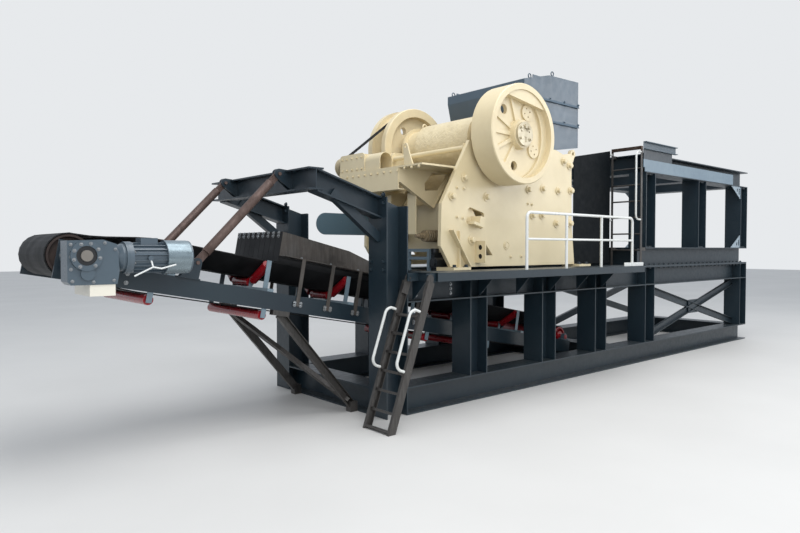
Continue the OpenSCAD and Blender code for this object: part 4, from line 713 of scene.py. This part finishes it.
class StudioSettings(bpy.types.PropertyGroup):
    """Floor colour, light level and lens."""

    floor_colour: FloatVectorProperty(
        name="Floor", description="Colour of the floor", subtype="COLOR", size=3,
        default=(0.62, 0.61, 0.59), min=0, max=1,
    )
    lens: FloatProperty(
        name="Lens", description="Focal length in mm on a 36 mm sensor", default=28.87, min=18, max=85
    )
    key_power: FloatProperty(
        name="Key light", description="Power of the large lamp overhead", default=1500.0, subtype="POWER"
    )


class CRUSHER_OT_finishes(bpy.types.Operator):
    """Paint every part of the plant with its finish"""

    bl_idname = "crusher.finishes"
    bl_label = "Finishes"

    def execute(self, context):
        make_finishes(context.scene.crusher_paint)
        done = set()
        for finish, names in WEARS.items():
            for name in names.split():
                wear(NODES[name], finish)
                done.add(name)
        left = sorted(set(NODES) - done)
        if left:
            raise RuntimeError("no finish for " + ", ".join(left))
        return {"FINISHED"}


class CRUSHER_OT_frame_bolts(bpy.types.Operator):
    """Bolts of the flange joints, the posts, the gantry, the crusher's feet and the walkway brackets"""

    bl_idname = "crusher.frame_bolts"
    bl_label = "Frame bolts"

    def execute(self, context):
        width = context.scene.crusher_bolts.frame_bolt
        spots = []
        for side in SIDES:
            for y in BEAM_ROWS:
                for x in range(860, 5400, 190):
                    spots.append(((x, side * y, SILL_FLANGE + LOOSE), (0, 0, 1), width))
                    spots.append(((x, side * y, DECK_FLANGE - LOOSE), (0, 0, -1), width))
                for x in POST_XS:
                    for dx in (-120, -45, 45, 120):
                        spots.append(((x + dx, side * y, POST_TOP - LOOSE), (0, 0, -1), width))
                        spots.append(((x + dx, side * y, POST_FOOT + LOOSE), (0, 0, 1), width))
                for z in (1830, 1930, 2640, 2740):
                    spots.append(((GANTRY_FACE - LOOSE, side * y, z), (-1, 0, 0), width))
            for x in (-3880, -3640, -810, -590):
                spots.append(((x, side * FEET_ROW, FEET_TOP), (0, 0, 1), width * 1.3))
        bolt_set("frame_bolts", spots, "slate")
        small = context.scene.crusher_bolts.small_bolt
        thin = []
        for x in WALK_BRACKETS:
            for z in (1500, 1560, 1620):
                thin.append(((x + 55, WALK_BRACKET_FACE - LOOSE, z), (0, -1, 0), small))
        bolt_set("bracket_bolts", thin, "zinc")
        return {"FINISHED"}


class CRUSHER_OT_crusher_bolts(bpy.types.Operator):
    """Bolts and studs of the side plates, bolt circles of the bearings and bolts of the shelf"""

    bl_idname = "crusher.crusher_bolts"
    bl_label = "Crusher bolts"

    def execute(self, context):
        sizes = context.scene.crusher_bolts
        spots, dots, shelf = [], [], []
        for side in SIDES:
            for x, z in CHEEK_BOLTS:
                spots.append(((x, side * CHEEK, z), (0, side, 0), sizes.cheek_bolt))
            for x, z in CHEEK_DOTS:
                dots.append(((x, side * CHEEK, z), (0, side, 0), sizes.cover_bolt))
            for i in range(16):
                x, z = on_circle(WHEEL_X, WHEEL_Z, HOUSING_CIRCLE, 11 + i * 22.5)
                dots.append(((x, side * (HOUSING_FACE + LOOSE), z), (0, side, 0), sizes.frame_bolt))
        for y in range(-810, 1030, 150):
            drop = 45 if y < -380 else 70
            shelf.append(((SHELF_X - LOOSE, y, SHELF_Z - drop), (-1, 0, 0), sizes.small_bolt))
        for y in (480, 600, 730, 860, 980):
            for z in (40, 215):
                shelf.append(((SHELF_X + 10 - LOOSE, y, SHELF_Z + z), (-1, 0, 0), sizes.small_bolt))
        heads = {"Head height": 0.55, "Washer height": 0.16}
        bolt_set("cheek_bolts", spots, "plate", numbers=heads)
        bolt_set("cheek_studs", dots, "plate")
        bolt_set("shelf_bolts", shelf, "plate")
        return {"FINISHED"}


class CRUSHER_OT_drive_bolts(bpy.types.Operator):
    """Bolts of the gear unit, the motor, the drum bearings, the stringers, the skirts and the curtain"""

    bl_idname = "crusher.drive_bolts"
    bl_label = "Drive and skirt bolts"

    def execute(self, context):
        small = context.scene.crusher_bolts.small_bolt
        spots = []
        for i in range(8):
            x, z = on_circle(HEAD_X, HEAD_Z, 112, -52 + i * 41.6)
            spots.append(((x, GEAR_COVER - LOOSE, z), (0, -1, 0), small * 0.75))
        for i in range(6):
            x, z = on_circle(HEAD_X, HEAD_Z, 104, i * 60)
            for side in SIDES:
                spots.append(((x, side * (DRUM_BEARING_FACE + LOOSE), z), (0, side, 0), small * 0.8))
        for dx, dz in GEAR_CASE_BOLTS:
            spots.append(((HEAD_X + dx, GEAR_CASE - LOOSE, HEAD_Z + dz), (0, -1, 0), small * 0.7))
        for i in range(8):
            y, z = on_circle(MOTOR_Y, MOTOR_Z, 138, 22.5 + i * 45)
            spots.append(((MOTOR_FLANGE + LOOSE, y, z), (1, 0, 0), small * 0.7))
        bolt_set("gear_bolts", spots, "zinc")
        spots = []
        for side in SIDES:
            out = (0, side, 0)
            for x in SKIRT_POSTS:
                for z in (-145, -120):
                    for dx in (-42, 42):
                        place = on_conveyor(x + dx, side * (SKIRT_POST_FACE + LOOSE), z)
                        spots.append((place, out, small))
                spots.append((on_conveyor(x, side * 650, SKIRT_FOOT + LOOSE), UPWARD, small))
            for x in (140, 330, 520):
                for z in (-180, -90):
                    spots.append((on_conveyor(x, side * (STRINGER_WEB + LOOSE), z), out, small))
            for i in range(6):
                for dx in (-18, 18):
                    place = on_conveyor(IDLER_START + i * IDLER_PITCH + dx, side * 690, IDLER_TOP + LOOSE)
                    spots.append((place, UPWARD, small * 0.7))
        ahead = tuple(-v for v in ALONG)
        for i in range(CURTAIN_STRIPS):
            y = -CURTAIN_HALF + (i + 0.5) * 2 * CURTAIN_HALF / CURTAIN_STRIPS
            for z in (645, 682):
                spots.append((on_conveyor(CURTAIN_FACE, y, z), ahead, small))
        bolt_set("skirt_bolts", spots, "zinc")
        return {"FINISHED"}


class CRUSHER_OT_hood_bolts(bpy.types.Operator):
    """Bolts along the laps of the feed hood, the flared edges of its strips and lifting eyes"""

    bl_idname = "crusher.hood_bolts"
    bl_label = "Hood fittings"

    def execute(self, context):
        small = context.scene.crusher_bolts.small_bolt
        spots = []
        for side in SIDES:
            for z in HOOD_LAPS:
                for x in range(-1950, -740, 400):
                    spots.append(((x, side * (HOOD_FACE + LOOSE), z), (0, side, 0), small))
        bolt_set("hood_bolts", spots, "hood")
        shape = bmesh.new()
        for side in SIDES:
            for lap in HOOD_LAPS:
                flare(shape, HOOD_ENDS, side, HOOD_FACE + 0.4, lap - 20)
            for x, z in HOOD_EYES:
                swept_ring(shape, (x, side * 844, z), (0, 1, 0), 34, 9)
        shaped("hood_fittings", shape, "hood")
        return {"FINISHED"}


class CRUSHER_OT_springs(bpy.types.Operator):
    """Two wound tension springs with their rods, plates and nuts"""

    bl_idname = "crusher.springs"
    bl_label = "Tension springs"

    def execute(self, context):
        sizes = context.scene.crusher_spring
        low, high = (Vector(corner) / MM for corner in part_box("tension_spring"))
        start, end, z = low.x, high.x, (low.z + high.z) / 2
        y = (high.y - low.y) / 2 - 95
        seat = 195
        wanted = {
            "Turns": sizes.turns,
            "Coil radius": sizes.coil_radius,
            "Length": (end - start - seat) * MM - 2 * sizes.bar_radius,
            "Bar radius": sizes.bar_radius,
        }
        shape = bmesh.new()
        for side in SIDES:
            seed = cast_points("coil_seed", [((0, 0, 0), (0, 0, 1), 10)])
            turned = grown("coil", seed, coil_tree(), "primer", wanted)
            place = Matrix.Translation(((start + seat) * MM + sizes.bar_radius, side * y * MM, z * MM))
            turned.data.transform(place @ Matrix.Rotation(math.radians(90), 4, "Y"))
            shape.from_mesh(turned.data)
            bpy.data.objects.remove(turned)
        shaped("tension_coils", shape, "primer", 60, ("tension_spring",))
        shape = bmesh.new()
        stack = ((165, 30, 83, 48), (118, 46, 46, 6), (66, 42, 44, 6))
        for side in SIDES:
            round_bar(shape, (start, side * y, z), (end, side * y, z), 25, 28)
            for at, length, radius, sides in stack:
                x = start + at
                round_bar(shape, (x, side * y, z), (x + length, side * y, z), radius, sides)
            for turn in range(9):
                swept_ring(shape, (start + 8 + turn * 6, side * y, z), (1, 0, 0), 24.5, 2.2, 24, 6)
        shaped("tension_rods", shape, "primer")
        return {"FINISHED"}


class CRUSHER_OT_eyes(bpy.types.Operator):
    """Lifting eyes of the bearings, ringed plugs of the side plates and bolts of the shaft's ends"""

    bl_idname = "crusher.eyes"
    bl_label = "Eyes and plugs"

    def execute(self, context):
        shape = bmesh.new()
        for y in (-HOUSING_EYE_Y, HOUSING_EYE_Y):
            swept_ring(shape, (WHEEL_X, y, HOUSING_EYE_Z), (0, 1, 0), 46, 16)
            round_bar(shape, (WHEEL_X, y, HOUSING_EYE_Z - 70), (WHEEL_X, y, HOUSING_EYE_Z - 42), 38, 24)
        for side in SIDES:
            swept_ring(shape, (PLUG_X, side * CHEEK, PLUG_Z), (0, 1, 0), 62, 8, 40, 10)
            inner, outer = ((PLUG_X, side * (CHEEK + out), PLUG_Z) for out in (-6, 12))
            round_bar(shape, inner, outer, 42, 32)
        shaped("crusher_eyes", shape, "cast")
        spots = [((WHEEL_X + 62, HUB_FACE - LOOSE, WHEEL_Z + 88), (0, -1, 0), 50)]
        for angle in (140, 215, 325):
            x, z = on_circle(WHEEL_X, WHEEL_Z, 128, angle)
            spots.append(((x, HUB_FACE - LOOSE, z), (0, -1, 0), 34))
        far_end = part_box("eccentric_shaft")[1][1] / MM
        for i in range(8):
            x, z = on_circle(WHEEL_X, WHEEL_Z, 100, 45 * i)
            spots.append(((x, far_end + LOOSE, z), (0, 1, 0), 34))
        bolt_set("hub_bolts", spots, "turned", WHEELS)
        return {"FINISHED"}


class CRUSHER_OT_wiring(bpy.types.Operator):
    """Ends of the motor's leads and their gland, its fan cowl, painted shade in the feet's bores, seals of
    the skirts
    """

    bl_idname = "crusher.wiring"
    bl_label = "Leads, cowl and seals"

    def execute(self, context):
        shape = bmesh.new()
        entry = Vector((-8212, -1178, 1991))
        fork, bend = (-8200, -1196, 1915), (-8120, -1196, 1900)
        round_bar(shape, entry + Vector((0, 14, 8)), fork, 8)
        round_bar(shape, fork, (-8370, -1190, 1834), 8)
        round_bar(shape, fork, bend, 8)
        round_bar(shape, bend, (-7980, -1190, 1935), 8)
        shaped("motor_leads", shape, "white")
        shape = bmesh.new()
        round_bar(shape, entry + Vector((0, 42, 10)), entry + Vector((0, -4, 8)), 24, 20)
        shaped("motor_gland", shape, "motor")
        # painted shade: near black rubber discs in the bores of the feet, where the holes fall into shadow
        shape = bmesh.new()
        for side in SIDES:
            y = side * FOOT_BORE_Y
            for z in (1975, 2105):
                round_bar(shape, (FOOT_BORE_X, y, z), (FOOT_BORE_X + 6, y, z), 37.4, 32)
        shaped("bore_shade_discs", shape, "belting", None)
        shape = bmesh.new()
        low, high = (Vector(corner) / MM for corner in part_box("drive_motor"))
        back = (high.x, (low.y + high.y) / 2, MOTOR_Z)
        angles = [math.pi / 2 * k / 6 for k in range(7)]
        lip = [(-22 + 22 * math.sin(a), 142 + 22.6 * math.cos(a)) for a in angles]
        shell = [(-246, 164.6), *lip, (-1, 138), (-4, 138), (-4, 142), (-22, 162.3), (-246, 162.3)]
        revolved(shape, back, shell)
        for radius in (24, 48, 72, 96, 120):
            swept_ring(shape, (back[0] - 3, back[1], back[2]), (1, 0, 0), radius, 2.6, 40, 8)
        for k in range(6):
            tip = Vector((-3, *on_circle(0, 0, 140, 60 * k)))
            round_bar(shape, Vector(back) + tip * 0.1, Vector(back) + tip, 2.4, 8)
        shaped("fan_cowl", shape, "sheet", 40)
        shape = bmesh.new()
        for side in SIDES:
            inner, outer = sorted((side * 553.5, side * 543.5))
            block(shape, (2262, inner, 380), (4592, outer, 505), 2, on_conveyor)
        shaped("skirt_seals", shape, "belting")
        return {"FINISHED"}


class CRUSHER_OT_studio(bpy.types.Operator):
    """Pale floor, soft lamps, even world and the camera"""

    bl_idname = "crusher.studio"
    bl_label = "Studio"

    def execute(self, context):
        scene, values = context.scene, context.scene.crusher_studio
        shape = bmesh.new()
        half, under = 60, -0.0015
        corners = ((-half, -half), (half, -half), (half, half), (-half, half))
        shape.faces.new([shape.verts.new((x, y, under)) for x, y in corners])
        floor = to_object("studio_floor", shape)
        mat, tree, shader, coords = new_surface("studio_floor_coat")
        shade = span(tree, grain(tree, coords, 2500, 4, 0.5), 0.3, 0.7)
        pale = tuple(values.floor_colour) + (1.0,)
        tree.links.new(mix(tree, shade, pale, shaded(pale, 0.93)), shader.inputs["Base Color"])
        shader.inputs["Roughness"].default_value = 0.55
        floor.data.materials.append(mat)
        world = bpy.data.worlds.new("studio_world")
        scene.world = world
        world.use_nodes = True
        tree = world.node_tree
        tree.nodes.clear()
        seen_by = add(tree, "ShaderNodeLightPath").outputs["Is Camera Ray"]
        lit, seen = (
            add(tree, "ShaderNodeBackground", {"Color": colour, "Strength": strength}).outputs[0]
            for colour, strength in (((0.86, 0.92, 1.0, 1), 0.75), ((0.80, 0.82, 0.84, 1), 1.0))
        )
        both = add(tree, "ShaderNodeMixShader", {0: seen_by, 1: lit, 2: seen}).outputs[0]
        add(tree, "ShaderNodeOutputWorld", {"Surface": both})
        for name, place, aim, size, power in (
            ("roof_light", (-3, -4, 13), (-2, 0, 1.5), 12, values.key_power),
            ("front_light", (-12, -12, 7), (-3, 0, 2), 7, values.key_power * 0.45),
            ("window_light", (9, -10, 6), (2, 0, 2), 6, values.key_power * 0.3),
        ):
            lamp = bpy.data.lights.new(name, "AREA")
            lamp.size, lamp.energy = size, power
            put_in_scene(name, lamp, place, Vector(aim) - Vector(place))
        lens = bpy.data.cameras.new("photo_camera")
        lens.lens, lens.sensor_width = values.lens, 36.0
        lens.clip_start, lens.clip_end = 0.1, 200
        turn, dip = math.radians(49.0), math.radians(1.607)
        aim = Vector((math.cos(turn) * math.cos(dip), math.sin(turn) * math.cos(dip), -math.sin(dip)))
        scene.camera = put_in_scene("photo_camera", lens, (-10.405, -7.27, 2.09), aim)
        scene.view_settings.view_transform = "Standard"
        return {"FINISHED"}


OPERATORS = (
    CRUSHER_OT_studio,
    CRUSHER_OT_finishes,
    CRUSHER_OT_frame_bolts,
    CRUSHER_OT_crusher_bolts,
    CRUSHER_OT_drive_bolts,
    CRUSHER_OT_hood_bolts,
    CRUSHER_OT_springs,
    CRUSHER_OT_eyes,
    CRUSHER_OT_wiring,
)


class CRUSHER_PT_panel(bpy.types.Panel):
    """The plant's operators and values"""

    bl_idname = "CRUSHER_PT_panel"
    bl_label = "Crusher plant"
    bl_space_type = "VIEW_3D"
    bl_region_type = "UI"
    bl_category = "Crusher"

    def draw(self, context):
        scene = context.scene
        for owner, names in (
            (scene.crusher_paint, ("slate", "pale", "cream")),
            (scene.crusher_bolts, ("frame_bolt", "cover_bolt", "cheek_bolt", "small_bolt")),
            (scene.crusher_spring, ("turns", "coil_radius", "bar_radius")),
            (scene.crusher_studio, ("floor_colour", "lens", "key_power")),
        ):
            box = self.layout.box()
            for name in names:
                box.prop(owner, name)
        for kind in OPERATORS:
            self.layout.operator(kind.bl_idname)


GROUPS = {
    "crusher_paint": FinishColours,
    "crusher_bolts": BoltSizes,
    "crusher_spring": SpringSizes,
    "crusher_studio": StudioSettings,
}


def register():
    for kind in (*GROUPS.values(), *OPERATORS, CRUSHER_PT_panel):
        bpy.utils.register_class(kind)
    for name, kind in GROUPS.items():
        setattr(bpy.types.Scene, name, PointerProperty(type=kind))


def unregister():
    for name in GROUPS:
        delattr(bpy.types.Scene, name)
    for kind in reversed((*GROUPS.values(), *OPERATORS, CRUSHER_PT_panel)):
        bpy.utils.unregister_class(kind)


def main():
    register()
    for kind in OPERATORS:
        area, _, name = kind.bl_idname.partition(".")
        getattr(getattr(bpy.ops, area), name)()


if __name__ == "__main__":
    main()
